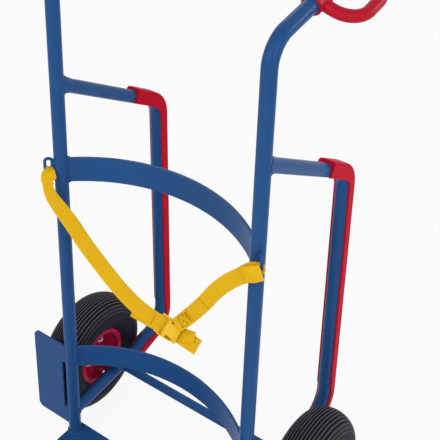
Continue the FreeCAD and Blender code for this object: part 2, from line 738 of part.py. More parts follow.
seat_radius = size("rim_seat_diameter") / 2
bolt_radius = size("rim_bolt_circle") / 2
rim_sheet = size("rim_sheet")
for name, side in SIDES:
    wheel = Placement(axle_point + Vector(side * wheel_side, 0, 0), Rotation())

    # Tyre: hollow rubber casing with fine grooves round its tread.
    foot, heel, belly, shoulder, crown = tyre_line(0)
    in_foot, in_heel, in_belly, in_shoulder, in_crown = tyre_line(size("tyre_wall"))
    body = turned_body(f"{name}_tyre", wheel, side, foot, [
        (heel,), (belly, shoulder), (crown, mirror(shoulder)), (mirror(belly), mirror(heel)),
        (mirror(foot),), (mirror(in_foot),), (mirror(in_heel),), (mirror(in_belly), mirror(in_shoulder)),
        (in_crown, in_shoulder), (in_belly, in_heel), (in_foot,)])
    grooves = new_sketch(body, f"{name}_tread_grooves", "XZ_Plane")
    count = int(size("tread_groove_count"))
    crown_rise = crown[1] - shoulder[1]
    crown_radius = (crown_rise ** 2 + shoulder[0] ** 2) / (2 * crown_rise)
    for number in range(count):
        middle = (number - (count - 1) / 2) * size("tread_groove_pitch")
        skin = crown[1] - crown_radius + math.sqrt(crown_radius ** 2 - middle ** 2)
        half = size("tread_groove_width") / 2
        floor = skin - size("tread_groove_depth")
        above = skin + size("tread_groove_depth")
        draw_steps(grooves, (middle - half, floor), [
            ((middle + half, floor),), ((middle + half, above),), ((middle - half, above),)])
    doc.recompute()
    spin(body, grooves, cutter=True)
    keep(body, f"{name}_tyre")

    # Air tube: thin rubber ring inside the tyre, resting on the rim seats.
    gap = size("air_tube_clearance")
    wall = size("air_tube_wall")
    outer = tyre_line(size("tyre_wall") + gap)
    inner = tyre_line(size("tyre_wall") + gap + wall)
    low = seat_radius + gap
    body = new_body(f"{name}_air_tube_body", wheel)
    section = new_sketch(body, f"{name}_air_tube_section", "XZ_Plane")
    for (foot, heel, belly, shoulder, crown), base in ((outer, low), (inner, low + wall)):
        corner = (foot[0], base)
        draw_steps(section, corner, [
            (heel,), (belly, shoulder), (crown, mirror(shoulder)), (mirror(belly), mirror(heel)),
            (mirror(corner),)])
    doc.recompute()
    spin(body, section)
    keep(body, f"{name}_air_tube")

    # Rim: two pressed steel dishes, bolted together through their flat middles.
    rim_half = size("rim_width") / 2
    seat_inner = rim_half - size("rim_seat_width")
    seat_under = seat_radius - rim_sheet
    dish = size("rim_dish_diameter") / 2
    hub_hole = size("hub_diameter") / 2 + size("hub_weld_clearance")
    lip = size("rim_diameter") / 2
    for half_name, way in (("inner", -side), ("outer", side)):
        label = f"{name}_rim_{half_name}"
        body = turned_body(label, wheel, way, (0, hub_hole), [
            ((rim_sheet, hub_hole),), ((rim_sheet, dish - rim_sheet),), ((seat_inner, seat_under),),
            ((rim_half - rim_sheet, seat_under),), ((rim_half, seat_radius),), ((rim_half, lip),),
            ((rim_half - rim_sheet, lip),), ((rim_half - rim_sheet, seat_radius),),
            ((seat_inner, seat_radius),), ((0, dish),)])
        cutters = []
        for number in range(int(size("rim_bolt_count"))):
            angle = 2 * math.pi * (number + 0.5) / size("rim_bolt_count")
            spot = Vector(0, math.cos(angle), math.sin(angle)) * bolt_radius
            cutters.append(cylinder(f"{label}_bolt_hole_{number}",
                                    "sizes.rim_bolt_diameter / 2 + sizes.rim_bolt_clearance",
                                    "2 * sizes.cut_overrun",
                                    Placement(wheel.Base + spot, ALONG_X), -size("cut_overrun")))
        if half_name == "inner":
            spot = Vector(0, 0, -size("valve_radius"))
            cutters.append(cylinder(f"{label}_valve_hole",
                                    "sizes.valve_diameter / 2 + sizes.valve_hole_clearance",
                                    "2 * sizes.rim_width",
                                    Placement(wheel.Base + spot, ALONG_X), -size("rim_width")))
        keep(join("Cut", label + "_cut", body, group(label + "_holes", cutters)), label)

    # Hub: steel tube welded into the dishes, with a plain bearing pressed into each end.
    tube = cylinder(f"{name}_hub_outside", "sizes.hub_diameter / 2", "sizes.hub_length",
                    axle_frame(side * wheel_side), -hub_half)
    bore = cylinder(f"{name}_hub_bore", "sizes.hub_diameter / 2 - sizes.hub_wall",
                    "sizes.hub_length + 2 * sizes.cut_overrun", axle_frame(side * wheel_side),
                    -hub_half - size("cut_overrun"))
    keep(join("Cut", f"{name}_hub_cut", tube, bore), f"{name}_hub")
    for half_name, way in (("inner", -side), ("outer", side)):
        end = side * wheel_side + way * hub_half
        start = end if way < 0 else end - size("bearing_length")
        outside = cylinder(f"{name}_{half_name}_bearing_outside",
                           "sizes.hub_diameter / 2 - sizes.hub_wall - sizes.bearing_clearance",
                           "sizes.bearing_length", axle_frame(start))
        bore = cylinder(f"{name}_{half_name}_bearing_bore",
                        "sizes.axle_diameter / 2 + sizes.bearing_clearance",
                        "sizes.bearing_length + 2 * sizes.cut_overrun", axle_frame(start),
                        -size("cut_overrun"))
        keep(join("Cut", f"{name}_{half_name}_bearing_cut", outside, bore), f"{name}_bearing_{half_name}")

    # Rim bolts: hexagon heads on the outer dish, nuts on the inner one.
    bolts = []
    for number in range(int(size("rim_bolt_count"))):
        angle = 2 * math.pi * (number + 0.5) / size("rim_bolt_count")
        spot = wheel.Base + Vector(0, math.cos(angle), math.sin(angle)) * bolt_radius
        frame = Placement(spot, Rotation(Vector(0, 0, 1), Vector(side, 0, 0)))
        shank = cylinder(f"{name}_bolt_shank_{number}", "sizes.rim_bolt_diameter / 2",
                         "2 * sizes.rim_sheet + sizes.rim_nut_height + sizes.rim_bolt_end", frame,
                         -rim_sheet - size("rim_nut_height") - size("rim_bolt_end"))
        head = hexagon(f"{name}_bolt_head_{number}", "sizes.rim_bolt_flats", "sizes.rim_bolt_head",
                       frame.multiply(at(z=rim_sheet)))
        nut = hexagon(f"{name}_bolt_nut_{number}", "sizes.rim_bolt_flats", "sizes.rim_nut_height",
                      frame.multiply(at(z=-rim_sheet - size("rim_nut_height"))))
        screw = join("Fuse", f"{name}_bolt_body_{number}", shank, head)
        bolts.append(join("Fuse", f"{name}_bolt_{number}", screw, nut))
    keep(group(f"{name}_bolts", bolts), f"{name}_rim_bolts")

    # Valve: stem through the inner dish, rooted on the air tube.
    spot = wheel.Base + Vector(0, 0, -size("valve_radius"))
    inboard = Placement(spot, Rotation(Vector(0, 0, 1), Vector(-side, 0, 0)))
    stem = cylinder(f"{name}_valve_stem", "sizes.valve_diameter / 2", "sizes.valve_length", inboard,
                    size("valve_root"))
    inset = Vector(-side * (size("valve_root") + size("valve_diameter") / 2), 0, 0)
    root = cylinder(f"{name}_valve_root", "sizes.valve_root_diameter / 2",
                    "sizes.rim_seat_diameter / 2 - sizes.valve_radius",
                    Placement(spot + inset, Rotation(Vector(0, 0, 1), Vector(0, 0, -1))))
    keep(join("Fuse", f"{name}_valve_body", stem, root), f"{name}_valve")


# Strap: two pieces of flat webbing that hang from the rings. The left one runs through the buckle and
# ends in a short tail, the right one comes down to the buckle's side. The points are chosen by hand
# along the sagging lines, as distances across and up in an upright plane in front of the uprights.
STRAP_LEFT_ROUTE = [(-222, 676), (-205, 650), (-182, 627), (-155, 601), (-124, 570), (-90, 543),
                    (-55, 519), (-22, 500.5), (8, 489), (38, 483.4), (80, 477.5), (115, 472.6)]
STRAP_RIGHT_ROUTE = [(229, 680.5), (205, 665.5), (185, 649), (162, 624), (142, 596), (125, 566),
                     (109, 539), (95.5, 517), (81.2, 494.2)]
UPRIGHT_PLANE = Rotation(Vector(1, 0, 0), 90)
buckle_turn = Rotation(Vector(0, 1, 0), size("buckle_tilt")) * Rotation(Vector(1, 0, 0), size("buckle_roll"))
buckle_across = buckle_turn.multVec(Vector(0, 1, 0))
buckle_normal = buckle_turn.multVec(Vector(0, 0, 1))


def strap_steps(route):
    """Start point and rounded steps of a strap's route, every arc as large as its two runs allow."""
    share = 0.45
    radii = [0.0] * len(route)
    for number in range(1, len(route) - 1):
        before = Vector(*route[number - 1], 0)
        corner = Vector(*route[number], 0)
        after = Vector(*route[number + 1], 0)
        half_turn = (math.pi - (before - corner).getAngle(after - corner)) / 2
        shorter = min((before - corner).Length, (after - corner).Length)
        radii[number] = share * shorter / math.tan(half_turn)
    return round_corners(route, radii)


def strap_band(label, route, lead, spread, depth):
    """Band of webbing: the route in the plane at lead, spread to both sides and drawn out along depth."""
    here, steps = strap_steps(route)
    spine = []
    for step in steps:
        if len(step) == 1:
            spine.append(Part.LineSegment(Vector(*here, 0), Vector(*step[0], 0)).toShape())
        else:
            spine.append(Part.Arc(Vector(*here, 0), Vector(*step[0], 0), Vector(*step[1], 0)).toShape())
        here = step[-1]
    rails = []
    caps = [[], []]
    for shift in (spread / 2, -spread / 2):
        for number, edge in enumerate(spine):
            spots = []
            for share in (0, 0.5, 1):
                spot = edge.FirstParameter + share * (edge.LastParameter - edge.FirstParameter)
                along = edge.tangentAt(spot)
                spots.append(edge.valueAt(spot) + Vector(-along.y, along.x, 0) * shift)
            curved = len(steps[number]) > 1
            rails.append(Part.Arc(*spots) if curved else Part.LineSegment(spots[0], spots[-1]))
            if number == 0:
                caps[0].append(spots[0])
            if number == len(spine) - 1:
                caps[1].append(spots[-1])
    edges = [item.toShape() for item in rails + [Part.LineSegment(*cap) for cap in caps]]
    face = Part.Face(Part.Wire(Part.__sortEdges__(edges)))
    local_depth = UPRIGHT_PLANE.inverted().multVec(depth)
    item = doc.addObject("Part::Feature", label + "_shape")
    item.Shape = face.extrude(local_depth)
    item.Placement = Placement(Vector(0, -lead, 0) - depth / 2, UPRIGHT_PLANE)
    keep(item, label)


# The left strap lies flat in the buckle, so its width leans back as the buckle does. The right strap
# shows its flat side to the front and lies against the front of its ring.
web = size("strap_thickness")
roll = math.radians(size("buckle_roll"))
ring_wire = size("ring_wire") / 2
ring_front = (tube_radius + size("ring_reach") - ring_wire) / math.sqrt(2) + ring_wire
strap_band("strap_left", STRAP_LEFT_ROUTE, size("strap_lead"), web / math.cos(roll),
           buckle_across * size("strap_width"))
strap_band("strap_right", STRAP_RIGHT_ROUTE, ring_front + size("strap_gap") + web / 2,
           size("strap_width"), Vector(0, web, 0))

# Cam buckle: a bent plate with two ears, a pin through the ears and a cam lever that grips the strap.
strap_point = Vector(size("buckle_centre_side"), -size("strap_lead"), size("buckle_centre_height"))
buckle = Placement(strap_point - buckle_normal * (web / 2 + size("strap_gap")), buckle_turn)
ear_inner = size("buckle_width") / 2 - size("buckle_plate")


def buckle_box(name, length, width, height, x, y, z):
    item = doc.addObject("Part::Box", name)
    bind(item, Length=length, Width=width, Height=height)
    item.Placement = buckle.multiply(at(x, y, z))
    return item


base = buckle_box("buckle_base", "sizes.buckle_length", "sizes.buckle_width", "sizes.buckle_plate",
                  -size("buckle_length") / 2, -size("buckle_width") / 2, -size("buckle_plate"))
ears = []
for name, side in SIDES:
    near_edge = ear_inner if side > 0 else -ear_inner - size("buckle_plate")
    ears.append(buckle_box(f"buckle_ear_{name}", "sizes.buckle_ear_length", "sizes.buckle_plate",
                           "sizes.buckle_ear_height", -size("buckle_ear_length") / 2, near_edge, 0))
pin_place = buckle.multiply(at(0, -size("buckle_width") / 2, size("buckle_pin_height"), ALONG_Y))
pin_hole = cylinder("buckle_pin_hole", "sizes.buckle_pin_diameter / 2 + sizes.buckle_pin_clearance",
                    "sizes.buckle_width + 2 * sizes.cut_overrun", pin_place, -size("cut_overrun"))
shell = join("Fuse", "buckle_shell", join("Fuse", "buckle_half_shell", base, ears[0]), ears[1])
keep(join("Cut", "buckle_frame_cut", shell, pin_hole), "buckle_frame")
pin_bar = cylinder("buckle_pin_bar", "sizes.buckle_pin_diameter / 2", "sizes.buckle_width", pin_place)
keep(pin_bar, "buckle_pin")

CAM_WIDTH = "sizes.buckle_width - 2 * sizes.buckle_plate - 2 * sizes.buckle_side_play"
cam_half = ear_inner - size("buckle_side_play")
lever_place = buckle.multiply(at(0, -cam_half, size("buckle_pin_height"), ALONG_Y))
cam = cylinder("lever_cam", "sizes.cam_radius", CAM_WIDTH, lever_place)
arm_level = size("buckle_pin_height") + size("cam_radius") - size("lever_thickness")
arm = buckle_box("lever_arm", "sizes.lever_length", "sizes.lever_width", "sizes.lever_thickness",
                 0, -size("lever_width") / 2, arm_level)
lip = buckle_box("lever_lip", "sizes.lever_thickness", "sizes.lever_width", "sizes.lever_lip",
                 size("lever_length") - size("lever_thickness"), -size("lever_width") / 2, arm_level)
lever = join("Fuse", "lever_blank", join("Fuse", "lever_root", cam, arm), lip)
keep(join("Cut", "lever_cut", lever, pin_hole), "buckle_lever")

# Backing pad: a doubled length of webbing sewn under the buckle.
pad_item = buckle_box("pad_web", "sizes.pad_length", "sizes.pad_width", "sizes.pad_thickness",
                      size("pad_tail") - size("pad_length"), -size("pad_width") / 2,
                      -size("buckle_plate") - size("strap_gap") - size("pad_thickness"))
keep(pad_item, "buckle_pad")

doc.recompute()
for item in doc.Objects:
    if any(word in item.State for word in ("Invalid", "Error")):
        raise RuntimeError(f"{item.Name} failed: {item.State}")
for item in nodes:
    if item.Shape.isNull() or not item.Shape.isValid():
        raise RuntimeError(f"{item.Label} has no valid shape")

os.makedirs("parts", exist_ok=True)
for item in nodes:
    item.Shape.exportStep(f"parts/{item.Label}.step")
    print(item.Label, len(item.Shape.Solids), round(item.Shape.Volume))
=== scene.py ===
import math

import bpy
from mathutils import Matrix, Vector


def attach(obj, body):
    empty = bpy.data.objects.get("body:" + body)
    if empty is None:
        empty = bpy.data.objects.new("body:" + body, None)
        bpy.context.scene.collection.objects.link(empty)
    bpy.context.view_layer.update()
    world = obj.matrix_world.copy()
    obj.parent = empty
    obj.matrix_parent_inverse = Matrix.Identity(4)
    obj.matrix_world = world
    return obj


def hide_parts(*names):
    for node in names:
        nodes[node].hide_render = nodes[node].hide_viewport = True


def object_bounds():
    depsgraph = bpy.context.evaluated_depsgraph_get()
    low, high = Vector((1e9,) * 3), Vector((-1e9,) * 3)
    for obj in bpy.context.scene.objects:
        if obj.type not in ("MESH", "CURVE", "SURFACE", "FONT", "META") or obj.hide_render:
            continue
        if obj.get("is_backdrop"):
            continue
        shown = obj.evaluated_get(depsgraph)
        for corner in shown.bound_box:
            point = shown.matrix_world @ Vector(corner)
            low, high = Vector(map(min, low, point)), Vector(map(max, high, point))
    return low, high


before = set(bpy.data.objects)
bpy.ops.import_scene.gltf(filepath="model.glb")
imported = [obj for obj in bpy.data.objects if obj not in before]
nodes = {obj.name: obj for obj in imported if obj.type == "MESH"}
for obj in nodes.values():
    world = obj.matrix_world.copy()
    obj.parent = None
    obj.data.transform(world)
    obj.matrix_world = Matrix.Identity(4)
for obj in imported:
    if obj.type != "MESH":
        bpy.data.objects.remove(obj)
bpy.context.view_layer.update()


# Frame: steel tubes, bowed flat bars and plates, welded together and then powder coated blue in one go.
# Stoved powder is a hard, smooth, satin skin with a faint orange peel and slight changes of depth, so
# the tubes carry soft bright streaks and the flat bars a sheen.
MM = 0.001
SIDES = (("left", -1), ("right", 1))


def linear(hex_colour):
    """Turns an sRGB hex colour into linear red, green, blue and alpha."""
    parts = [int(hex_colour[start:start + 2], 16) / 255 for start in (1, 3, 5)]
    return [part / 12.92 if part <= 0.04045 else ((part + 0.055) / 1.055) ** 2.4 for part in parts] + [1.0]


def add_node(tree, kind, settings=None, inputs=None, links=()):
    """Adds a shader node with its settings and input values, and links its inputs to other nodes."""
    node = tree.nodes.new(kind)
    for name, value in (settings or {}).items():
        setattr(node, name, value)
    for name, value in (inputs or {}).items():
        node.inputs[name].default_value = value
    for name, source, output in links:
        tree.links.new(source.outputs[output], node.inputs[name])
    return node


def start_material(name, plain):
    """Starts a material: its tree, its shader with the plain values set, and the texture coordinates."""
    material = bpy.data.materials.new(name)
    material.use_nodes = True
    tree = material.node_tree
    shader = tree.nodes["Principled BSDF"]
    for socket, value in plain.items():
        shader.inputs[socket].default_value = value
    return material, tree, shader, add_node(tree, "ShaderNodeTexCoord")


def both_sides(*words):
    """Names of the CAD nodes that both sides have."""
    return [f"{side}_{word}" for side, way in SIDES for word in words]


def dress(material, names):
    """Gives the CAD nodes a finish."""
    for name in names:
        for spot in nodes[name].material_slots:
            spot.material = material


powder_coat, tree, shader, place = start_material(
    "powder_coat_blue", {"IOR": 1.5, "Specular IOR Level": 0.08})
patches = add_node(tree, "ShaderNodeTexNoise", None, {"Scale": 1 / (140 * MM), "Detail": 3.0},
                   [("Vector", place, "Object")])
blues = add_node(tree, "ShaderNodeMix", {"data_type": "RGBA"},
                 {"A": linear("#20497c"), "B": linear("#265287")}, [("Factor", patches, "Fac")])
tree.links.new(blues.outputs["Result"], shader.inputs["Base Color"])
haze = add_node(tree, "ShaderNodeTexNoise", None, {"Scale": 1 / (90 * MM), "Detail": 0.0},
                [("Vector", place, "Object")])
gloss = add_node(tree, "ShaderNodeMapRange", None, {"To Min": 0.3, "To Max": 0.33},
                 [("Value", haze, "Fac")])
tree.links.new(gloss.outputs["Result"], shader.inputs["Roughness"])
# the real peel is about 1 mm across; it is drawn at 8 mm so that it bends the streaks a little
peel = add_node(tree, "ShaderNodeTexNoise", None, {"Scale": 1 / (8 * MM), "Detail": 0.0},
                [("Vector", place, "Object")])
skin = add_node(tree, "ShaderNodeBump", None, {"Strength": 0.01, "Distance": 0.3 * MM},
                [("Height", peel, "Fac")])
tree.links.new(skin.outputs["Normal"], shader.inputs["Normal"])
dress(powder_coat, ["upper_crossbar", "lower_crossbar", "foot_plate", "cross_tube"])
dress(powder_coat, both_sides("upright", "wheel_guard", "skid_tube", "strap_ring", "axle"))

# Weld beads: ropes of overlapping scales, laid by hand where tubes, bars, links and plates meet, and
# coated with the frame. Each one is a sphere drawn out along its seam.
TUBE = 12.5 * MM
HALF_SPACING = 204 * MM
SCALE_PITCH, SCALE_SHARE = 2.6 * MM, 0.14
BEAD_STEP, BEAD_SEGMENTS, LEAST_RINGS, BEAD_BLUNTNESS = 0.55 * MM, 10, 16, 14
SEAM_STEPS = 48
RING_STEPS = 40
SADDLE_ROOM = 1.03
beads = []


def lay_bead(line, bead):
    """Lays a weld bead of that radius along a line of points."""
    lengths = [0.0]
    for first, second in zip(line, line[1:]):
        lengths.append(lengths[-1] + (second - first).length)
    total = lengths[-1]
    rings = max(LEAST_RINGS, round(total / BEAD_STEP))
    bpy.ops.object.select_all(action="DESELECT")
    bpy.ops.mesh.primitive_uv_sphere_add(segments=BEAD_SEGMENTS, ring_count=rings, radius=bead)
    rope = bpy.context.object
    for vertex in rope.data.vertices:
        share = math.acos(max(-1.0, min(1.0, vertex.co.z / bead))) / math.pi
        turn = math.atan2(vertex.co.y, vertex.co.x)
        along = share * total
        spot = next((number for number in range(1, len(line)) if lengths[number] >= along), len(line) - 1)
        run = lengths[spot] - lengths[spot - 1]
        point = line[spot - 1].lerp(line[spot], (along - lengths[spot - 1]) / run)
        tangent = (line[spot] - line[spot - 1]).normalized()
        side_way = tangent.orthogonal().normalized()
        up_way = tangent.cross(side_way)
        taper = (1 - abs(2 * share - 1) ** BEAD_BLUNTNESS) ** 0.5
        ripple = 1 + SCALE_SHARE * abs(math.sin(math.pi * along / SCALE_PITCH))
        reach = bead * taper * ripple
        vertex.co = point + (side_way * math.cos(turn) + up_way * math.sin(turn)) * reach
    bpy.ops.object.shade_smooth()
    beads.append(rope)


def ring_line(centre, axis, radius):
    """Closed circle of points round an axis."""
    first = axis.orthogonal().normalized() * radius
    turns = [2 * math.pi * number / RING_STEPS for number in range(RING_STEPS + 1)]
    return [centre + Matrix.Rotation(turn, 3, axis) @ first for turn in turns]


def saddle_reach(across, rise, drop):
    """How far along a tube that leaves an upright backwards, dropping by an angle, its seam lies. The
    place on the seam is given to the tube's side and above its middle line."""
    back = math.sqrt(max(TUBE ** 2 * SADDLE_ROOM - across ** 2, 0))
    return (back - rise * math.sin(drop)) / math.cos(drop)


def on_tube(across, rise, along, height, drop):
    """Place on such a tube, which starts at that height."""
    return Vector((across, along * math.cos(drop) + rise * math.sin(drop),
                   height - along * math.sin(drop) + rise * math.cos(drop)))


def saddle_line(side_x, height, drop, tall=TUBE):
    """Seam where such a tube, of that half height, meets an upright of its own width."""
    points = []
    for number in range(SEAM_STEPS + 1):
        turn = 2 * math.pi * number / SEAM_STEPS
        across = TUBE * math.cos(turn)
        rise = tall * math.sin(turn)
        along = saddle_reach(across, rise, drop)
        points.append(on_tube(side_x + across, rise, along, height, drop))
    return points


def meeting(bow_centre, bow_radius, side_x):
    """Point on the inner side of an upright where a bowed bar's face meets the tube."""
    gap = math.hypot(side_x, bow_centre)
    to_bar = Vector((-side_x, bow_centre, 0)).normalized()
    nearer = (gap ** 2 + TUBE ** 2 - bow_radius ** 2) / (2 * gap)
    sideways = math.sqrt(TUBE ** 2 - nearer ** 2)
    foot = Vector((side_x, 0, 0)) + to_bar * nearer
    choices = [foot + Vector((-to_bar.y, to_bar.x, 0)) * sideways * sign for sign in (1, -1)]
    return min(choices, key=lambda point: abs(point.x))


BAR_LEAD, BAR_THICKNESS, BAR_HEIGHT = 6.7 * MM, 5 * MM, 48 * MM
BARS = ((679 * MM, 88 * MM), (243 * MM, 89 * MM))
BAR_BEAD, CORNER_BEAD, CORNER_RUN, CORNER_OVERLAP = 2.0 * MM, 2.8 * MM, 4 * MM, 2 * MM
SKID_TOP, SKID_BOTTOM = Vector((0, 272, 697)) * MM, Vector((0, 290, 138)) * MM
ARM_HEIGHT = 850 * MM
ARM_DROP = math.atan2(ARM_HEIGHT - SKID_TOP.z, SKID_TOP.y)
ARM_FLARE, ARM_BEAD = 4.5 * MM, 1.6 * MM
AXLE_SETBACK, AXLE_TOP = 126 * MM, 119.5 * MM
STRUT_HEIGHT, STRUT_FALL, STRUT_BEAD = 97.24 * MM, 9 * MM, 2.0 * MM
STRUT_DROP = -math.atan2(STRUT_FALL, AXLE_SETBACK)
CROSS_TUBE, CROSS_GAP = (149 * MM, 107.9 * MM), 1 * MM
CROSS_RADIUS, CROSS_BEAD = 9.6 * MM, 1.8 * MM
FOOT_HEIGHT, FOOT_RADIUS, FOOT_BEAD = 41.5 * MM, TUBE + 0.8 * MM, 2.2 * MM
LINK_HEIGHTS, LINK_REACH = (682.2 * MM, 697 * MM), TUBE + 0.4 * MM
LINK_FLAT, LINK_BEAD = 5 * MM, 2.6 * MM
GUARD_TABS = ((64 * MM, 106 * MM), (226 * MM, 268 * MM))
GUARD_FACES, GUARD_BEAD = (-10 * MM, -6 * MM), 1.4 * MM
AXLE_SEAMS, AXLE_FLAT, AXLE_BEAD = (-5.2 * MM, 5.2 * MM), 7 * MM, 1.6 * MM
for side, way in SIDES:
    x = way * HALF_SPACING
    lay_bead(saddle_line(x, ARM_HEIGHT, ARM_DROP, TUBE + ARM_FLARE), ARM_BEAD)
    lay_bead(saddle_line(x, STRUT_HEIGHT, STRUT_DROP), STRUT_BEAD)
    cross_end = Vector((x - way * (TUBE + CROSS_GAP), *CROSS_TUBE))
    lay_bead(ring_line(cross_end, Vector((1, 0, 0)), CROSS_RADIUS), CROSS_BEAD)
    lay_bead(ring_line(Vector((x, 0, FOOT_HEIGHT)), Vector((0, 0, 1)), FOOT_RADIUS), FOOT_BEAD)
    for middle, bow in BARS:
        bow_radius = (bow ** 2 + HALF_SPACING ** 2) / (2 * bow)
        centre = bow - BAR_LEAD - bow_radius
        low, high = middle - BAR_HEIGHT / 2, middle + BAR_HEIGHT / 2
        for face in (0.0, BAR_THICKNESS):
            seam = meeting(centre, bow_radius + face, x)
            lay_bead([Vector((seam.x, seam.y, low)), Vector((seam.x, seam.y, high))], BAR_BEAD)
        corner = meeting(centre, bow_radius + BAR_THICKNESS / 2, x)
        inward = Vector((-(corner.y - centre) * way, corner.x * way, 0)).normalized()
        for edge in (low, high):
            corner.z = edge
            lay_bead([corner - inward * CORNER_OVERLAP, corner + inward * CORNER_RUN], CORNER_BEAD)
    to_link = Vector((way, -1, 0)).normalized() * LINK_REACH
    for height in LINK_HEIGHTS:
        link = Vector((x, 0, height)) + to_link
        flat = Vector((0, 0, LINK_FLAT))
        lay_bead([link - flat, link + flat], LINK_BEAD)
    for low, high in GUARD_TABS:
        for lead in GUARD_FACES:
            edge = x + way * math.sqrt(TUBE ** 2 - lead ** 2)
            lay_bead([Vector((edge, lead, low)), Vector((edge, lead, high))], GUARD_BEAD)
    for shift in AXLE_SEAMS:
        seam = Vector((x, AXLE_SETBACK + shift, AXLE_TOP))
        flat = Vector((AXLE_FLAT, 0, 0))
        lay_bead([seam - flat, seam + flat], AXLE_BEAD)
bpy.ops.object.select_all(action="DESELECT")
for rope in beads:
    rope.select_set(True)
bpy.context.view_layer.objects.active = beads[0]
bpy.ops.object.join()
welds = bpy.context.object
welds.name = "frame_welds"
welds.data.materials.append(powder_coat)
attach(welds, "frame")

# Flared arm ends: each upper arm is pressed taller where it meets its upright, so that it takes a longer
# weld. The flare dies away into the round tube.
FLARE_LENGTH, FLARE_SINK = 46 * MM, 0.3 * MM
FLARE_COLUMNS, FLARE_ROWS = 48, 16
MERGE_GAP, CREASE = 0.01 * MM, math.radians(40)


def wrap_tube(columns, rows, spot):
    """Tube wrapped from a grid, merged at its seam and closed at its ends. spot gives the place of a
    column and a row."""
    bpy.ops.object.select_all(action="DESELECT")
    bpy.ops.mesh.primitive_grid_add(x_subdivisions=columns, y_subdivisions=rows, size=2)
    tube = bpy.context.object
    for vertex in tube.data.vertices:
        column = round((vertex.co.x + 1) / 2 * columns) % columns
        row = round((vertex.co.y + 1) / 2 * rows)
        vertex.co = spot(column, row)
    bpy.ops.object.mode_set(mode="EDIT")
    bpy.ops.mesh.select_all(action="SELECT")
    bpy.ops.mesh.remove_doubles(threshold=MERGE_GAP)
    bpy.ops.mesh.fill_holes(sides=0)
    bpy.ops.mesh.select_all(action="SELECT")
    bpy.ops.mesh.normals_make_consistent(inside=False)
    bpy.ops.object.mode_set(mode="OBJECT")
    bpy.ops.object.shade_smooth_by_angle(angle=CREASE)
    return tube


def copy_to_sides(model, name, material):
    """Copies a piece that is modelled midway between the uprights to both of them, each copy with its own
    mesh, and clears the model away."""
    pieces = []
    mesh = model.data
    mesh.materials.append(material)
    for side, way in SIDES:
        piece = model.copy()
        piece.data = mesh.copy()
        piece.name = f"{side}_{name}"
        piece.data.transform(Matrix.Translation((way * HALF_SPACING, 0, 0)))
        bpy.context.scene.collection.objects.link(piece)
        pieces.append(piece)
    bpy.data.objects.remove(model)
    bpy.data.meshes.remove(mesh)
    return pieces


def flare_spot(column, row):
    """Place on the flare: tall by the upright, and just under the tube's skin at its far end."""
    turn = 2 * math.pi * column / FLARE_COLUMNS
    share = row / FLARE_ROWS
    across = (TUBE - FLARE_SINK * share) * math.cos(turn)
    rise = (TUBE + ARM_FLARE * (1 - share) ** 2 - FLARE_SINK * share) * math.sin(turn)
    start = saddle_reach(across, rise, ARM_DROP)
    along = start + (FLARE_LENGTH - start) * share
    return on_tube(across, rise, along, ARM_HEIGHT, ARM_DROP)


flare_model = wrap_tube(FLARE_COLUMNS, FLARE_ROWS, flare_spot)
for flare in copy_to_sides(flare_model, "arm_flare", powder_coat):
    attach(flare, "frame")

# Slide strips: red plastic channel, extruded, bent warm round the skid tubes and riveted on, so that
# the trolley slides over steps and kerbs. Extruded plastic has a satin skin with faint lines along it.
slide_plastic, tree, shader, place = start_material(
    "extruded_plastic_red", {"IOR": 1.5, "Specular IOR Level": 0.02})
clouds = add_node(tree, "ShaderNodeTexNoise", None, {"Scale": 1 / (60 * MM), "Detail": 4.0},
                  [("Vector", place, "Object")])
reds = add_node(tree, "ShaderNodeMix", {"data_type": "RGBA"},
                {"A": linear("#b80a24"), "B": linear("#c60c2c")}, [("Factor", clouds, "Fac")])
tree.links.new(reds.outputs["Result"], shader.inputs["Base Color"])
lines = add_node(tree, "ShaderNodeMapping", None, {"Scale": (1.0, 1.0, 0.03)},
                 [("Vector", place, "Object")])
drawn = add_node(tree, "ShaderNodeTexNoise", None, {"Scale": 1 / (1.5 * MM), "Detail": 2.0},
                 [("Vector", lines, "Vector")])
satin = add_node(tree, "ShaderNodeMapRange", None, {"To Min": 0.34, "To Max": 0.5},
                 [("Value", drawn, "Fac")])
tree.links.new(satin.outputs["Result"], shader.inputs["Roughness"])
grain = add_node(tree, "ShaderNodeBump", None, {"Strength": 0.1, "Distance": 0.2 * MM},
                 [("Height", drawn, "Fac")])
tree.links.new(grain.outputs["Normal"], shader.inputs["Normal"])
dress(slide_plastic, both_sides("slide_strip"))

# Strip hoods: over the upper bend each strip is deeper. Its flanges start a little further forward, cover
# the arm's sides and draw back to the strip's own depth round the bend.
BEND_RADIUS, HOOD_RUN, HOOD_LEAN = 48 * MM, 85 * MM, 4 * MM
HOOD_WIDE, HOOD_TOP, HOOD_BORE = 15.85 * MM, 17.85 * MM, 12.7 * MM
HOOD_DEPTH, STRIP_DEPTH = 10 * MM, 3 * MM
SQUARENESS = 7
ARCH_STEPS, RUN_STEPS, BEND_STEPS, DEEP_STEPS = 24, 5, 12, 2
hood_loop = [(-HOOD_DEPTH, -HOOD_WIDE)]
for number in range(ARCH_STEPS + 1):
    turn = math.pi * (number / ARCH_STEPS - 0.5)
    wide_share, tall_share = abs(math.sin(turn)) / HOOD_WIDE, math.cos(turn) / HOOD_TOP
    reach = (wide_share ** SQUARENESS + tall_share ** SQUARENESS) ** (-1 / SQUARENESS)
    hood_loop.append((reach * math.cos(turn), reach * math.sin(turn)))
hood_loop += [(-HOOD_DEPTH, HOOD_WIDE), (-HOOD_DEPTH, HOOD_BORE)]
for number in range(ARCH_STEPS + 1):
    turn = math.pi * (0.5 - number / ARCH_STEPS)
    hood_loop.append((HOOD_BORE * math.cos(turn), HOOD_BORE * math.sin(turn)))
hood_loop.append((-HOOD_DEPTH, -HOOD_BORE))
arm_way = (SKID_TOP - Vector((0, 0, ARM_HEIGHT))).normalized()
run_way = (SKID_BOTTOM - SKID_TOP).normalized()
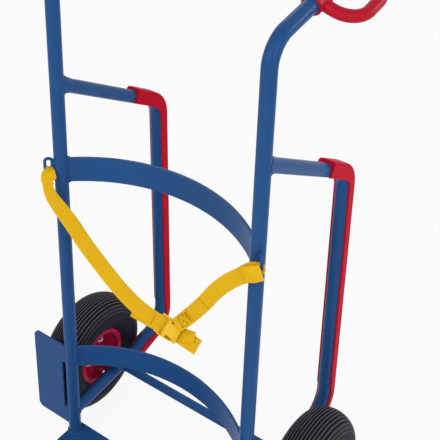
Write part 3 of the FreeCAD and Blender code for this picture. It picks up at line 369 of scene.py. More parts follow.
outer_way = Vector((0, -arm_way.z, arm_way.y))
bend_turn = arm_way.angle(run_way)
bend_start = SKID_TOP - arm_way * BEND_RADIUS * math.tan(bend_turn / 2)
hood_start = SKID_TOP - arm_way * HOOD_RUN
hood_path = []
for number in range(RUN_STEPS):
    share = number / RUN_STEPS
    hood_path.append((hood_start.lerp(bend_start, share), outer_way, 1.0, 1 - share))
for number in range(BEND_STEPS + 1):
    leaning = Matrix.Rotation(-bend_turn * number / BEND_STEPS, 3, "X") @ outer_way
    drawn_back = max(0.0, number - DEEP_STEPS) / (BEND_STEPS - DEEP_STEPS)
    deep = 0.5 + 0.5 * math.cos(math.pi * drawn_back)
    hood_path.append((bend_start + (leaning - outer_way) * BEND_RADIUS, leaning, deep, 0.0))


def hood_spot(column, row):
    """Place on the hood: a point of its section, set at a step of its path."""
    rise, across = hood_loop[column]
    middle, leaning, deep, forward = hood_path[row]
    if rise == -HOOD_DEPTH:
        rise = -STRIP_DEPTH - (HOOD_DEPTH - STRIP_DEPTH) * deep
    lead = HOOD_LEAN * forward * (HOOD_TOP - rise) / (HOOD_TOP + HOOD_DEPTH)
    return middle - arm_way * lead + leaning * rise + Vector((across, 0, 0))


hood_model = wrap_tube(len(hood_loop), len(hood_path) - 1, hood_spot)
for hood in copy_to_sides(hood_model, "strip_hood", slide_plastic):
    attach(hood, "frame")

# Small steel parts: rivets, collars, washers, cotter pins and rim bolts, all zinc plated. Plating is
# bright and a little milky, with fine cloudy spangle.
zinc_plate, tree, shader, place = start_material("zinc_plated_steel", {"Metallic": 1.0})
spangle = add_node(tree, "ShaderNodeTexVoronoi", None, {"Scale": 1 / (2.5 * MM)},
                   [("Vector", place, "Object")])
greys = add_node(tree, "ShaderNodeMix", {"data_type": "RGBA"},
                 {"A": linear("#c9ccd0"), "B": linear("#aeb2b8")}, [("Factor", spangle, "Distance")])
tree.links.new(greys.outputs["Result"], shader.inputs["Base Color"])
milky = add_node(tree, "ShaderNodeMapRange", None, {"To Min": 0.22, "To Max": 0.38},
                 [("Value", spangle, "Distance")])
tree.links.new(milky.outputs["Result"], shader.inputs["Roughness"])
dress(zinc_plate, both_sides("strip_rivets", "axle_collar", "axle_washer", "cotter_pin", "rim_bolts"))

# Hand grips: red plastic sleeves with a knuckle guard, moulded in one piece and pushed on to the handles.
# Moulded plastic has a fine even grain and a soft shine.
grip_plastic, tree, shader, place = start_material(
    "moulded_plastic_red", {"IOR": 1.5, "Specular IOR Level": 0.1})
clouds = add_node(tree, "ShaderNodeTexNoise", None, {"Scale": 1 / (40 * MM), "Detail": 3.0},
                  [("Vector", place, "Object")])
reds = add_node(tree, "ShaderNodeMix", {"data_type": "RGBA"},
                {"A": linear("#ac1026"), "B": linear("#ba132c")}, [("Factor", clouds, "Fac")])
tree.links.new(reds.outputs["Result"], shader.inputs["Base Color"])
pores = add_node(tree, "ShaderNodeTexNoise", None, {"Scale": 1 / (1.2 * MM), "Detail": 2.0},
                 [("Vector", place, "Object")])
shine = add_node(tree, "ShaderNodeMapRange", None, {"To Min": 0.32, "To Max": 0.46},
                 [("Value", clouds, "Fac")])
tree.links.new(shine.outputs["Result"], shader.inputs["Roughness"])
grain = add_node(tree, "ShaderNodeBump", None, {"Strength": 0.12, "Distance": 0.2 * MM},
                 [("Height", pores, "Fac")])
tree.links.new(grain.outputs["Normal"], shader.inputs["Normal"])
dress(grip_plastic, both_sides("grip"))

# Tyres and air tubes: black rubber, moulded. Rubber is matt and slightly blue-grey where light grazes
# it, and the tread carries thin pale lines of painted highlight where its ribs would catch light.
WHEEL_MIDDLE, AXLE_LINE = 266.5 * MM, (AXLE_SETBACK, 129 * MM)
RIB_PITCH, HIGHLIGHT_FROM, HIGHLIGHT_TO = 6 * MM, 2.1 * MM, 2.7 * MM
TREAD_FROM, TREAD_TO = 113 * MM, 117 * MM
SHOULDER_LINE, LINE_FULL, LINE_END, SHOULDER_HIGHLIGHT_SHARE = 108 * MM, 0.4 * MM, 0.9 * MM, 0.7
tyre_rubber, tree, shader, place = start_material(
    "moulded_rubber_black", {"IOR": 1.5, "Specular IOR Level": 0.1})
dust = add_node(tree, "ShaderNodeTexNoise", None, {"Scale": 1 / (18 * MM), "Detail": 5.0},
                [("Vector", place, "Object")])
blacks = add_node(tree, "ShaderNodeMix", {"data_type": "RGBA"},
                  {"A": linear("#171722"), "B": linear("#242432")}, [("Factor", dust, "Fac")])
# painted highlight: thin pale lines 6 mm apart along the middles of the tread's ribs, standing in for the
# light they catch
apart = add_node(tree, "ShaderNodeSeparateXYZ", None, None, [("Vector", place, "Object")])
sideways = add_node(tree, "ShaderNodeMath", {"operation": "ABSOLUTE"}, None, [(0, apart, "X")])
from_middle = add_node(tree, "ShaderNodeMath", {"operation": "SUBTRACT"}, {1: WHEEL_MIDDLE},
                       [(0, sideways, "Value")])
from_groove = add_node(tree, "ShaderNodeMath", {"operation": "PINGPONG"}, {1: RIB_PITCH / 2},
                       [(0, from_middle, "Value")])
rib_highlight_mask = add_node(tree, "ShaderNodeMapRange", None, {"From Min": HIGHLIGHT_FROM, "From Max": HIGHLIGHT_TO},
                [("Value", from_groove, "Value")])
from_axle = add_node(tree, "ShaderNodeVectorMath", {"operation": "SUBTRACT"}, {1: (0.0, *AXLE_LINE)},
                     [(0, place, "Object")])
radial = add_node(tree, "ShaderNodeVectorMath", {"operation": "MULTIPLY"}, {1: (0.0, 1.0, 1.0)},
                  [(0, from_axle, "Vector")])
radius = add_node(tree, "ShaderNodeVectorMath", {"operation": "LENGTH"}, None, [(0, radial, "Vector")])
tread = add_node(tree, "ShaderNodeMapRange", None, {"From Min": TREAD_FROM, "From Max": TREAD_TO},
                 [("Value", radius, "Value")])
painted_rib_highlights = add_node(tree, "ShaderNodeMath", {"operation": "MULTIPLY"}, None,
                     [(0, rib_highlight_mask, "Result"), (1, tread, "Result")])
# two more painted highlight lines run round the shoulder, one to each side of its middle
off_line = radius
for distance in (SHOULDER_LINE, RIB_PITCH / 2):
    off_line = add_node(tree, "ShaderNodeMath", {"operation": "SUBTRACT"}, {1: distance},
                        [(0, off_line, "Value")])
    off_line = add_node(tree, "ShaderNodeMath", {"operation": "ABSOLUTE"}, None, [(0, off_line, "Value")])
shoulder_highlight_lines = add_node(tree, "ShaderNodeMapRange", None,
                    {"From Min": LINE_FULL, "From Max": LINE_END, "To Min": SHOULDER_HIGHLIGHT_SHARE, "To Max": 0.0},
                    [("Value", off_line, "Value")])
# painted highlight: the rib lines and the shoulder lines together, laid in a pale grey over the black
# rubber
painted_highlight_lines = add_node(tree, "ShaderNodeMath", {"operation": "MAXIMUM"}, None,
                 [(0, painted_rib_highlights, "Value"), (1, shoulder_highlight_lines, "Result")])
rubber = add_node(tree, "ShaderNodeMix", {"data_type": "RGBA"}, {"B": linear("#5f5856")},
                  [("Factor", painted_highlight_lines, "Value"), ("A", blacks, "Result")])
tree.links.new(rubber.outputs["Result"], shader.inputs["Base Color"])
matt = add_node(tree, "ShaderNodeMapRange", None, {"To Min": 0.5, "To Max": 0.75},
                [("Value", dust, "Fac")])
tree.links.new(matt.outputs["Result"], shader.inputs["Roughness"])
grit = add_node(tree, "ShaderNodeTexNoise", None, {"Scale": 1 / (0.9 * MM), "Detail": 2.0},
                [("Vector", place, "Object")])
grain = add_node(tree, "ShaderNodeBump", None, {"Strength": 0.2, "Distance": 0.2 * MM},
                 [("Height", grit, "Fac")])
tree.links.new(grain.outputs["Normal"], shader.inputs["Normal"])
dress(tyre_rubber, both_sides("tyre", "air_tube"))

# Rims: two pressed steel dishes on a hub tube, sprayed with red enamel. Sprayed enamel is glossier and
# darker than the plastic strips, with a fine ripple.
rim_enamel, tree, shader, place = start_material(
    "sprayed_enamel_red", {"IOR": 1.5, "Specular IOR Level": 0.08})
clouds = add_node(tree, "ShaderNodeTexNoise", None, {"Scale": 1 / (50 * MM), "Detail": 3.0},
                  [("Vector", place, "Object")])
reds = add_node(tree, "ShaderNodeMix", {"data_type": "RGBA"},
                {"A": linear("#b4123e"), "B": linear("#c21648")}, [("Factor", clouds, "Fac")])
tree.links.new(reds.outputs["Result"], shader.inputs["Base Color"])
ripple = add_node(tree, "ShaderNodeTexNoise", None, {"Scale": 1 / (4 * MM), "Detail": 1.0},
                  [("Vector", place, "Object")])
gloss = add_node(tree, "ShaderNodeMapRange", None, {"To Min": 0.28, "To Max": 0.42},
                 [("Value", clouds, "Fac")])
tree.links.new(gloss.outputs["Result"], shader.inputs["Roughness"])
skin = add_node(tree, "ShaderNodeBump", None, {"Strength": 0.08, "Distance": 0.3 * MM},
                [("Height", ripple, "Fac")])
tree.links.new(skin.outputs["Normal"], shader.inputs["Normal"])
dress(rim_enamel, both_sides("rim_inner", "rim_outer", "hub"))

# Bearings and valves: turned nylon bushes in the hubs, and valve stems of brass with a bright
# nickel plating.
bush_nylon, tree, shader, place = start_material("turned_nylon", {"IOR": 1.53, "Roughness": 0.45})
turning = add_node(tree, "ShaderNodeTexNoise", None, {"Scale": 1 / (1.5 * MM)},
                   [("Vector", place, "Object")])
creams = add_node(tree, "ShaderNodeMix", {"data_type": "RGBA"},
                  {"A": linear("#d8d4c6"), "B": linear("#e4e0d4")}, [("Factor", turning, "Fac")])
tree.links.new(creams.outputs["Result"], shader.inputs["Base Color"])
dress(bush_nylon, both_sides("bearing_inner", "bearing_outer"))
valve_brass, tree, shader, place = start_material(
    "nickel_plated_brass", {"Metallic": 1.0, "Roughness": 0.3})
tarnish = add_node(tree, "ShaderNodeTexNoise", None, {"Scale": 1 / (4 * MM), "Detail": 3.0},
                   [("Vector", place, "Object")])
nickels = add_node(tree, "ShaderNodeMix", {"data_type": "RGBA"},
                   {"A": linear("#dedad0"), "B": linear("#c6c0b2")}, [("Factor", tarnish, "Fac")])
tree.links.new(nickels.outputs["Result"], shader.inputs["Base Color"])
dress(valve_brass, both_sides("valve"))

# Lashing strap: flat polyester webbing, woven in a fine twill with a firm edge, dyed golden yellow. The
# left piece is bunched through its ring, runs on through the buckle and ends in a short tail.
STRAP_WIDTH, STRAP_THICKNESS = 27 * MM, 2 * MM
THREAD_WIDTH, THREAD_LENGTH = 1.4 * MM, 2.2 * MM
ROUTE_STEPS = 16
webbing, tree, shader, place = start_material(
    "woven_polyester_yellow", {"IOR": 1.5, "Roughness": 0.75, "Specular IOR Level": 0.1})
# threads are about 0.6 mm wide; they are drawn at 1.4 mm so that the weave shows
across_threads = add_node(tree, "ShaderNodeMapping", None,
                          {"Scale": (STRAP_WIDTH / THREAD_WIDTH, 1 / THREAD_LENGTH, 1.0)},
                          [("Vector", place, "UV")])
twill = add_node(tree, "ShaderNodeTexWave", {"wave_type": "BANDS", "bands_direction": "DIAGONAL"},
                 {"Scale": 0.35, "Distortion": 0.4, "Detail": 1.0}, [("Vector", across_threads, "Vector")])
fade = add_node(tree, "ShaderNodeTexNoise", None, {"Scale": 1 / (45 * MM), "Detail": 3.0},
                [("Vector", place, "Object")])
threads = add_node(tree, "ShaderNodeMix", {"data_type": "RGBA"},
                   {"A": linear("#d8a412"), "B": linear("#eec01c")}, [("Factor", twill, "Fac")])
shades = add_node(tree, "ShaderNodeValToRGB", None, None, [("Fac", fade, "Fac")])
shades.color_ramp.elements[0].color = linear("#f2e4cc")
shades.color_ramp.elements[1].color = linear("#ffffff")
worn = add_node(tree, "ShaderNodeMix", {"data_type": "RGBA", "blend_type": "MULTIPLY"}, {"Factor": 0.5},
                [("A", threads, "Result"), ("B", shades, "Color")])
tree.links.new(worn.outputs["Result"], shader.inputs["Base Color"])
weave = add_node(tree, "ShaderNodeBump", None, {"Strength": 0.35, "Distance": 0.3 * MM},
                 [("Height", twill, "Fac")])
tree.links.new(weave.outputs["Normal"], shader.inputs["Normal"])


def route_points(route):
    """Points along the smooth line that a route, in millimetres, gives the control points of."""
    curve = bpy.data.curves.new("route", "CURVE")
    curve.dimensions = "3D"
    curve.resolution_u = ROUTE_STEPS
    spline = curve.splines.new("NURBS")
    spline.points.add(len(route) - 1)
    for point, spot in zip(spline.points, route):
        point.co = (*(Vector(spot) * MM), 1.0)
    spline.order_u = 3
    spline.use_endpoint_u = True
    line = bpy.data.objects.new("route", curve)
    bpy.context.scene.collection.objects.link(line)
    bpy.context.view_layer.update()
    mesh = bpy.data.meshes.new_from_object(line)
    points = [vertex.co.copy() for vertex in mesh.vertices]
    bpy.data.objects.remove(line)
    bpy.data.curves.remove(curve)
    bpy.data.meshes.remove(mesh)
    return points


def spread(values, points):
    """Values given at even steps along a line, worked out at each of its points."""
    spread_values = []
    for number in range(len(points)):
        spot = number / (len(points) - 1) * (len(values) - 1)
        before = min(int(spot), len(values) - 2)
        spread_values.append(values[before] + (values[before + 1] - values[before]) * (spot - before))
    return spread_values


def spread_widths(widths, points):
    """Widths in millimetres, spread along a line."""
    return [wide * MM for wide in spread(widths, points)]


def along_line(points, number):
    """Way a line of points runs at one of them."""
    return (points[min(number + 1, len(points) - 1)] - points[max(number - 1, 0)]).normalized()


BAND_STEPS, EDGE_SHARE, EDGE_BLUNTNESS, BAND_CREASE = 12, 0.18, 6, math.radians(50)


def weave_band(name, points, leans, widths, thickness=STRAP_THICKNESS):
    """Band of webbing along a line of points. leans and widths give the way its width points and how wide
    it is at each of them."""
    rim = []
    for number in range(BAND_STEPS + 1):
        share = 2 * number / BAND_STEPS - 1
        rim.append((share, max(EDGE_SHARE, (1 - abs(share) ** EDGE_BLUNTNESS) ** 0.5)))
    loop = rim + [(share, -high) for share, high in reversed(rim)]
    vertices, faces, places = [], [], []
    travelled = 0.0
    last = len(points) - 1
    for number, point in enumerate(points):
        tangent = along_line(points, number)
        lean = leans[number] - tangent * leans[number].dot(tangent)
        lean.normalize()
        normal = lean.cross(tangent).normalized()
        if number:
            travelled += (point - points[number - 1]).length
        for share, high in loop:
            vertices.append(point + lean * (share * widths[number] / 2) + normal * (high * thickness / 2))
            places.append((share / 2 + 0.5, travelled))
    size = len(loop)
    for number in range(last):
        for spot in range(size):
            following = (spot + 1) % size
            faces.append((number * size + spot, number * size + following,
                          (number + 1) * size + following, (number + 1) * size + spot))
    for start in (0, last * size):
        for spot in range(BAND_STEPS):
            across_face = start + size - 1 - spot
            faces.append((start + spot, start + spot + 1, across_face - 1, across_face))
    mesh = bpy.data.meshes.new(name)
    mesh.from_pydata(vertices, [], faces)
    layer = mesh.uv_layers.new(name="weave")
    for corner in mesh.loops:
        layer.data[corner.index].uv = places[corner.vertex_index]
    band = bpy.data.objects.new(name, mesh)
    bpy.context.scene.collection.objects.link(band)
    bpy.ops.object.select_all(action="DESELECT")
    bpy.context.view_layer.objects.active = band
    band.select_set(True)
    bpy.ops.object.mode_set(mode="EDIT")
    bpy.ops.mesh.select_all(action="SELECT")
    bpy.ops.mesh.normals_make_consistent(inside=False)
    bpy.ops.object.mode_set(mode="OBJECT")
    bpy.ops.object.shade_smooth_by_angle(angle=BAND_CREASE)
    mesh.materials.append(webbing)
    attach(band, "frame")
    return band


LEFT_LEAN = Vector((0.09841, 0.707107, 0.700225))
LEFT_RING_BAR = Vector((0.7071, 0.7071, 0.0))
LEFT_ROUTE = [(-219.5, -15.5, 685), (-215, -22, 688), (-210, -28, 676), (-206, -34.5, 661),
              (-197, -36, 644), (-181.5, -34, 627.5), (-154, -31.5, 601), (-124, -32, 570),
              (-90, -32, 543), (-55, -32, 516), (-22, -32, 497), (8, -32, 486.5),
              (38, -32, 483), (78, -31.5, 478), (106.5, -23.5, 480.5)]
LEFT_TWIST_SHARES = [1, 1, 0.95, 0.75, 0.45, 0.15, 0, 0, 0, 0, 0, 0, 0, 0, 0]
LEFT_WIDTHS = [6.5, 17, 18, 18.5, 22, 25.5, 27, 27, 27, 27, 27, 27, 27, 27, 19]


def left_leans(points, shares):
    """Ways a band's width points: along the left ring's bar at a share of 1, as in the buckle at 0."""
    return [LEFT_RING_BAR * share + LEFT_LEAN * (1 - share) for share in spread(shares, points)]


left_points = route_points(LEFT_ROUTE)
left_widths = spread_widths(LEFT_WIDTHS, left_points)
left_turns = left_leans(left_points, LEFT_TWIST_SHARES)
strap_left = weave_band("strap_left_webbing", left_points, left_turns, left_widths)
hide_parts("strap_left")

# Left loop: over the left piece lies the part that comes back through the ring, as a short fold in front
# of the ring's lower bar.
LEFT_BACK_ROUTE = [(-223, -12, 680), (-221.5, -14.5, 687), (-212.5, -21, 686), (-208, -28.5, 679.5),
                   (-204.5, -32, 671), (-202, -30.5, 665.5), (-202, -27, 667)]
LEFT_BACK_TWIST_SHARES = [1, 1, 1, 1, 1, 1, 0.9]
LEFT_BACK_WIDTHS = [8, 10, 20, 26, 27, 21, 9]
back_points = route_points(LEFT_BACK_ROUTE)
left_back = weave_band("left_loop_webbing", back_points, left_leans(back_points, LEFT_BACK_TWIST_SHARES),
                       spread_widths(LEFT_BACK_WIDTHS, back_points))

# Right piece: it comes down from its ring with its flat side to the front. It ends over the buckle's
# side, where the webbing is doubled and sewn.
RIGHT_ROUTE = [(224, -22, 676.5), (219.5, -24.5, 676), (211.5, -25.5, 671.5), (203, -24.5, 663),
               (185, -23.9, 649), (162, -23.9, 624), (142, -23.9, 596), (125, -23.9, 566),
               (108.5, -23.9, 541), (95, -24, 522), (82.5, -26.5, 505), (73, -30.5, 493)]
RIGHT_WIDTHS = [14, 25, 29, 28, 27, 27, 27, 27, 27, 27, 27, 27]
RIGHT_END_SHARES = [0, 0, 0, 0, 0, 0, 0, 0, 0, 0, 0.35, 0.8]
RIGHT_END_LEAN = Vector((0.5, -0.55, -0.67))
BACKWARDS = Vector((0, 1, 0))


def right_leans(points, shares, aim):
    """Ways a band's width points: square to its run at a share of 0, along the aim at 1."""
    ways = []
    for number, share in enumerate(spread(shares, points)):
        square = along_line(points, number).cross(BACKWARDS)
        ways.append(square * (1 - share) + aim * share)
    return ways


right_points = route_points(RIGHT_ROUTE)
right_turns = right_leans(right_points, RIGHT_END_SHARES, RIGHT_END_LEAN)
right_widths = spread_widths(RIGHT_WIDTHS, right_points)
strap_right = weave_band("strap_right_webbing", right_points, right_turns, right_widths)
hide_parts("strap_right")

# Right loop: the webbing goes up round the ring's bar, bunched, comes back behind the right piece, and
# shows in front of the ring as a flat fold.
RIGHT_BACK_ROUTE = [(224, -22, 676), (224.5, -15.5, 680.5), (222.5, -12.5, 684.5), (219.4, -15.4, 686),
                    (211, -20.5, 679), (199, -21.3, 663), (184, -21.3, 647)]
RIGHT_BACK_WIDTHS = [12, 9, 7, 6.5, 16, 25, 26]
RIGHT_BACK_SHARES = [0, 0.6, 1, 1, 0.6, 0.1, 0]
RIGHT_RING_BAR = Vector((0.7071, -0.7071, 0.0))
back_points = route_points(RIGHT_BACK_ROUTE)
right_back = weave_band("right_loop_webbing", back_points,
                        right_leans(back_points, RIGHT_BACK_SHARES, RIGHT_RING_BAR),
                        spread_widths(RIGHT_BACK_WIDTHS, back_points))
RIGHT_FOLD_ROUTE = [(228, -26.5, 679), (219, -30, 675), (209.5, -31, 669.5), (200, -30.5, 664)]
RIGHT_FOLD_WIDTHS = [26, 29, 29, 27]
RIGHT_FOLD_SHARES = [0, 0]
fold_points = route_points(RIGHT_FOLD_ROUTE)
right_fold = weave_band("right_fold_webbing", fold_points,
                        right_leans(fold_points, RIGHT_FOLD_SHARES, RIGHT_RING_BAR),
                        spread_widths(RIGHT_FOLD_WIDTHS, fold_points))

# Sewn end: a second layer of webbing on the right piece's lower end, a little narrower, where the
# doubled webbing is stitched.
SEWN_SHARE, SEWN_LIFT, SEWN_TRIM = 0.83, 2.1 * MM, 1 * MM
sewn_first = round(len(right_points) * SEWN_SHARE)
sewn_points = []
for number in range(sewn_first, len(right_points)):
    out_way = right_turns[number].cross(along_line(right_points, number)).normalized()
    sewn_points.append(right_points[number] - out_way * SEWN_LIFT)
sewn_turns = right_turns[sewn_first:]
sewn_widths = [wide - SEWN_TRIM for wide in right_widths[sewn_first:]]
sewn_end = weave_band("right_sewn_webbing", sewn_points, sewn_turns, sewn_widths)

# Stitches: dark brown thread in rows and a crossed box over the sewn end, and in rows across both pieces.
# Each stitch is a short rounded grain pressed into the webbing.
thread, tree, shader, place = start_material(
    "sewing_thread_brown", {"Roughness": 0.8, "Specular IOR Level": 0.1})
twist = add_node(tree, "ShaderNodeTexNoise", None, {"Scale": 1 / (0.8 * MM)},
                 [("Vector", place, "Object")])
browns = add_node(tree, "ShaderNodeMix", {"data_type": "RGBA"},
                  {"A": linear("#2e1c06"), "B": linear("#52320c")}, [("Factor", twist, "Fac")])
tree.links.new(browns.outputs["Result"], shader.inputs["Base Color"])
STITCH_PITCH, STITCH_LENGTH = 3.2 * MM, 2.6 * MM
STITCH_RADIUS, FINE_STITCH, AHEAD = 0.75 * MM, 0.45 * MM, 0.1
bpy.ops.object.select_all(action="DESELECT")
bpy.ops.mesh.primitive_uv_sphere_add(segments=8, ring_count=6, radius=1.0)
bpy.ops.object.shade_smooth()
stitch = bpy.context.object


def sew(name, points, leans, widths, rows, stitch_radius):
    """Rows of stitches on the front of a band. Each row joins two places, given as a share of the width
    from the middle and a share of the band's length."""
    stitches = []
    last = len(points) - 1

    def on_face(across, along):
        """Place on the band's front face."""
        spot = along * last
        before = min(int(spot), last - 1)
        tangent = along_line(points, before)
        lean = (leans[before] - tangent * leans[before].dot(tangent)).normalized()
        middle = points[before].lerp(points[before + 1], spot - before)
        out = lean.cross(tangent).normalized() * (STRAP_THICKNESS / 2)
        return middle + lean * (across * widths[before]) - out

    def between(first, second, share):
        """Place on the face between two others."""
        return on_face(*[first[axis] + (second[axis] - first[axis]) * share for axis in (0, 1)])

    for first, second in rows:
        length = (on_face(*second) - on_face(*first)).length
        count = max(2, round(length / STITCH_PITCH))
        for number in range(count):
            spot = between(first, second, (number + 0.5) / count)
            way = between(first, second, (number + 0.5 + AHEAD) / count) - spot
            grain = stitch.copy()
            grain.data = stitch.data.copy()
            bpy.context.scene.collection.objects.link(grain)
            turn = way.to_track_quat("Z", "Y").to_matrix().to_4x4()
            shape = Matrix.Diagonal((stitch_radius, stitch_radius, STITCH_LENGTH / 2, 1.0))
            grain.data.transform(Matrix.Translation(spot) @ turn @ shape)
            stitches.append(grain)
    bpy.ops.object.select_all(action="DESELECT")
    for grain in stitches:
        grain.select_set(True)
    bpy.context.view_layer.objects.active = stitches[0]
    bpy.ops.object.join()
    seam = bpy.context.object
    seam.name = name
    seam.data.materials.append(thread)
    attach(seam, "frame")
    return seam


BOX_SHARE, BOX_START, BOX_END = 0.36, 0.32, 0.72
SEWN_ROWS = (0.06, 0.16)
RIGHT_ROW, RIGHT_ROW_SHARE = 0.66, 0.42
LEFT_ROW, LEFT_ROW_START, LEFT_ROW_END = 0.855, -0.45, 0.36
start_left, start_right = (-BOX_SHARE, BOX_START), (BOX_SHARE, BOX_START)
end_left, end_right = (-BOX_SHARE, BOX_END), (BOX_SHARE, BOX_END)
right_seams = sew("right_stitching", sewn_points, sewn_turns, sewn_widths,
                  [((-BOX_SHARE, row), (BOX_SHARE, row)) for row in SEWN_ROWS], STITCH_RADIUS)
right_box = sew("right_box_stitching", sewn_points, sewn_turns, sewn_widths,
                [(start_left, end_left), (start_right, end_right), (start_left, start_right),
                 (end_left, end_right), (start_left, end_right), (start_right, end_left)], FINE_STITCH)
right_row = sew("right_upper_stitching", right_points, right_turns, right_widths,
                [((-RIGHT_ROW_SHARE, RIGHT_ROW), (RIGHT_ROW_SHARE, RIGHT_ROW))], FINE_STITCH)
left_seams = sew("left_stitching", left_points, left_turns, left_widths,
                 [((LEFT_ROW_START, LEFT_ROW), (LEFT_ROW_END, LEFT_ROW))], FINE_STITCH)
bpy.data.meshes.remove(stitch.data)

# Backing pad: a doubled length of webbing under the buckle. It droops a little at its free left end.
# It is woven as the strap is, and slightly thicker.
BUCKLE_MIDDLE = Vector((57.872, -31.031, 479.690)) * MM
BUCKLE_ALONG = Vector((0.990268, 0.0, -0.139173))
BUCKLE_UP = Vector((0.09841, -0.707107, 0.700225))
PAD_START, PAD_END, PAD_STEPS = -76.6 * MM, 60 * MM, 34
PAD_THICKNESS, PAD_SINK = 2.4 * MM, 3.5 * MM
PAD_DROOP, DROOP_REACH, DROOP_START_SHARE = 6 * MM, 75 * MM, 0.3
PAD_SHIFT, SHIFT_START, SHIFT_REACH = 6.5 * MM, 10 * MM, 85 * MM
pad_middle = BUCKLE_MIDDLE - BUCKLE_UP * PAD_SINK
pad_points = []
for number in range(PAD_STEPS + 1):
    along = PAD_START + (PAD_END - PAD_START) * number / PAD_STEPS
    droop_share = max(0.0, -along / DROOP_REACH - DROOP_START_SHARE) / (1 - DROOP_START_SHARE)
    droop = PAD_DROOP * droop_share ** 2
    shift = PAD_SHIFT * max(0.0, (SHIFT_START - along) / SHIFT_REACH)
    pad_points.append(pad_middle + BUCKLE_ALONG * along - BUCKLE_UP * droop - LEFT_LEAN * shift)
pad = weave_band("buckle_pad_webbing", pad_points, [LEFT_LEAN] * len(pad_points),
                 [STRAP_WIDTH] * len(pad_points), PAD_THICKNESS)
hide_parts("buckle_pad")

# Cam buckle: a bent plate and a cam lever of steel coated yellow, on a pin of dull plated steel. The coat
# is satin and a little cloudy, and the pin is scuffed.
buckle_pin, tree, shader, place = start_material("dull_plated_steel", {"Metallic": 1.0})
scuffs = add_node(tree, "ShaderNodeTexNoise", None, {"Scale": 1 / (3 * MM), "Detail": 4.0},
                  [("Vector", place, "Object")])
greys = add_node(tree, "ShaderNodeMix", {"data_type": "RGBA"},
                 {"A": linear("#85878a"), "B": linear("#a3a5a8")}, [("Factor", scuffs, "Fac")])
tree.links.new(greys.outputs["Result"], shader.inputs["Base Color"])
dull = add_node(tree, "ShaderNodeMapRange", None, {"To Min": 0.35, "To Max": 0.55},
                [("Value", scuffs, "Fac")])
tree.links.new(dull.outputs["Result"], shader.inputs["Roughness"])
dress(buckle_pin, ["buckle_pin"])
lever_coat, tree, shader, place = start_material(
    "coated_steel_yellow", {"IOR": 1.5, "Specular IOR Level": 0.2})
clouds = add_node(tree, "ShaderNodeTexNoise", None, {"Scale": 1 / (12 * MM), "Detail": 3.0},
                  [("Vector", place, "Object")])
yellows = add_node(tree, "ShaderNodeMix", {"data_type": "RGBA"},
                   {"A": linear("#e4b610"), "B": linear("#eec41a")}, [("Factor", clouds, "Fac")])
tree.links.new(yellows.outputs["Result"], shader.inputs["Base Color"])
satin = add_node(tree, "ShaderNodeMapRange", None, {"To Min": 0.36, "To Max": 0.5},
                 [("Value", clouds, "Fac")])
tree.links.new(satin.outputs["Result"], shader.inputs["Roughness"])
dress(lever_coat, ["buckle_frame", "buckle_lever"])


# Studio: a pale floor that fades into a white surround, two large soft lamps in front, one behind and
# two more upright ones that draw the bright streaks on the tubes.
def seen_ray(tree):
    """Node that is 1 where a surface is seen directly, in a reflection or through glass."""
    ray = add_node(tree, "ShaderNodeLightPath")
    seen = add_node(tree, "ShaderNodeMath", {"operation": "MAXIMUM"}, None,
                    [(0, ray, "Is Camera Ray"), (1, ray, "Is Glossy Ray")])
    return add_node(tree, "ShaderNodeMath", {"operation": "MAXIMUM"}, None,
                    [(0, seen, "Value"), (1, ray, "Is Transmission Ray")])


FLOOR_SIZE, FLOOR_GLOW = 12, 0.9
bpy.ops.object.select_all(action="DESELECT")
bpy.ops.mesh.primitive_plane_add(size=FLOOR_SIZE, location=(0, 0, 0))
floor = bpy.context.object
floor.name = "studio_floor"
paper, tree, shader, place = start_material(
    "white_paper", {"Base Color": linear("#f4f4f4"), "Roughness": 0.9, "Specular IOR Level": 0.0})
glow = add_node(tree, "ShaderNodeEmission", None, {"Color": (1, 1, 1, 1), "Strength": 1.0})
share = add_node(tree, "ShaderNodeMath", {"operation": "MULTIPLY"}, {1: FLOOR_GLOW},
                 [(0, seen_ray(tree), "Value")])
both = add_node(tree, "ShaderNodeMixShader", None, None,
                [(0, share, "Value"), (1, shader, "BSDF"), (2, glow, "Emission")])
tree.links.new(both.outputs["Shader"], tree.nodes["Material Output"].inputs["Surface"])
floor.data.materials.append(paper)
floor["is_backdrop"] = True

world = bpy.data.worlds.new("white_surround")
bpy.context.scene.world = world
world.use_nodes = True
tree = world.node_tree
dim = tree.nodes["Background"]
dim.inputs["Color"].default_value = linear("#eef0f4")
dim.inputs["Strength"].default_value = 0.42
bright = add_node(tree, "ShaderNodeBackground", None, {"Color": (1, 1, 1, 1), "Strength": 1.0})
both = add_node(tree, "ShaderNodeMixShader", None, None,
                [(0, seen_ray(tree), "Value"), (1, dim, "Background"), (2, bright, "Background")])
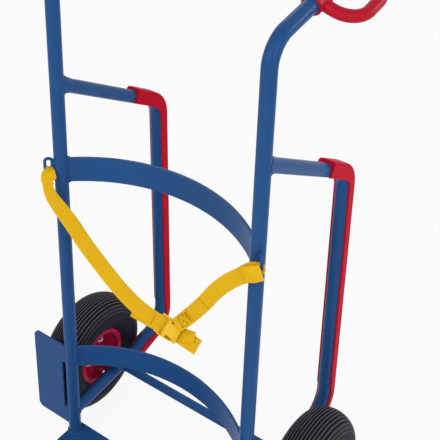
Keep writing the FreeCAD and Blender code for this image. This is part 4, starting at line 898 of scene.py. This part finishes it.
tree.links.new(both.outputs["Shader"], tree.nodes["World Output"].inputs["Surface"])


def hang_lamp(name, spot, target, wide, high, power):
    """Soft area lamp at a spot, turned to a target."""
    lamp = bpy.data.lights.new(name, "AREA")
    lamp.shape = "RECTANGLE"
    lamp.size = wide
    lamp.size_y = high
    lamp.energy = power
    item = bpy.data.objects.new(name, lamp)
    bpy.context.scene.collection.objects.link(item)
    item.location = spot
    item.rotation_euler = (Vector(target) - Vector(spot)).to_track_quat("-Z", "Y").to_euler()


hang_lamp("key_lamp", spot=(-1.6, -2.6, 2.6), target=(0, 0, 0.6), wide=1.2, high=1.8, power=24)
hang_lamp("fill_lamp", spot=(2.8, -1.2, 2.0), target=(0, 0, 0.5), wide=1.0, high=2.0, power=34)
hang_lamp("back_lamp", spot=(-1.5, 2.4, 2.3), target=(0, 0, 0.7), wide=1.6, high=1.0, power=12)
hang_lamp("front_strip_lamp", spot=(0.0, -3.0, 2.4), target=(0.1, 0, 0.9), wide=0.8, high=1.8, power=38)
hang_lamp("side_strip_lamp", spot=(2.6, 2.6, 1.9), target=(0.1, 0.1, 0.95), wide=0.8, high=1.2, power=36)

# Camera: stands to the right of the front and looks down at the trolley, as the photograph does.
# Its shift frames the trolley as the photograph crops it.
CAMERA_SPOT = Vector((0.8228, -1.0524, 1.6289))
right = Vector((0.79, 0.613, 0.0)).normalized()
back = Vector((0.5389, -0.6938, 0.4777)).normalized()
up = back.cross(right).normalized()
right = up.cross(back)
lens = bpy.data.cameras.new("photo_camera")
lens.sensor_width = 36.0
lens.lens = 80.94
lens.shift_x = 0.1468
lens.shift_y = -0.2925
camera = bpy.data.objects.new("photo_camera", lens)
bpy.context.scene.collection.objects.link(camera)
camera.matrix_world = Matrix((
    (right.x, up.x, back.x, CAMERA_SPOT.x),
    (right.y, up.y, back.y, CAMERA_SPOT.y),
    (right.z, up.z, back.z, CAMERA_SPOT.z),
    (0, 0, 0, 1)))
bpy.context.scene.camera = camera
bpy.context.scene.view_settings.view_transform = "Standard"

low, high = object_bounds()
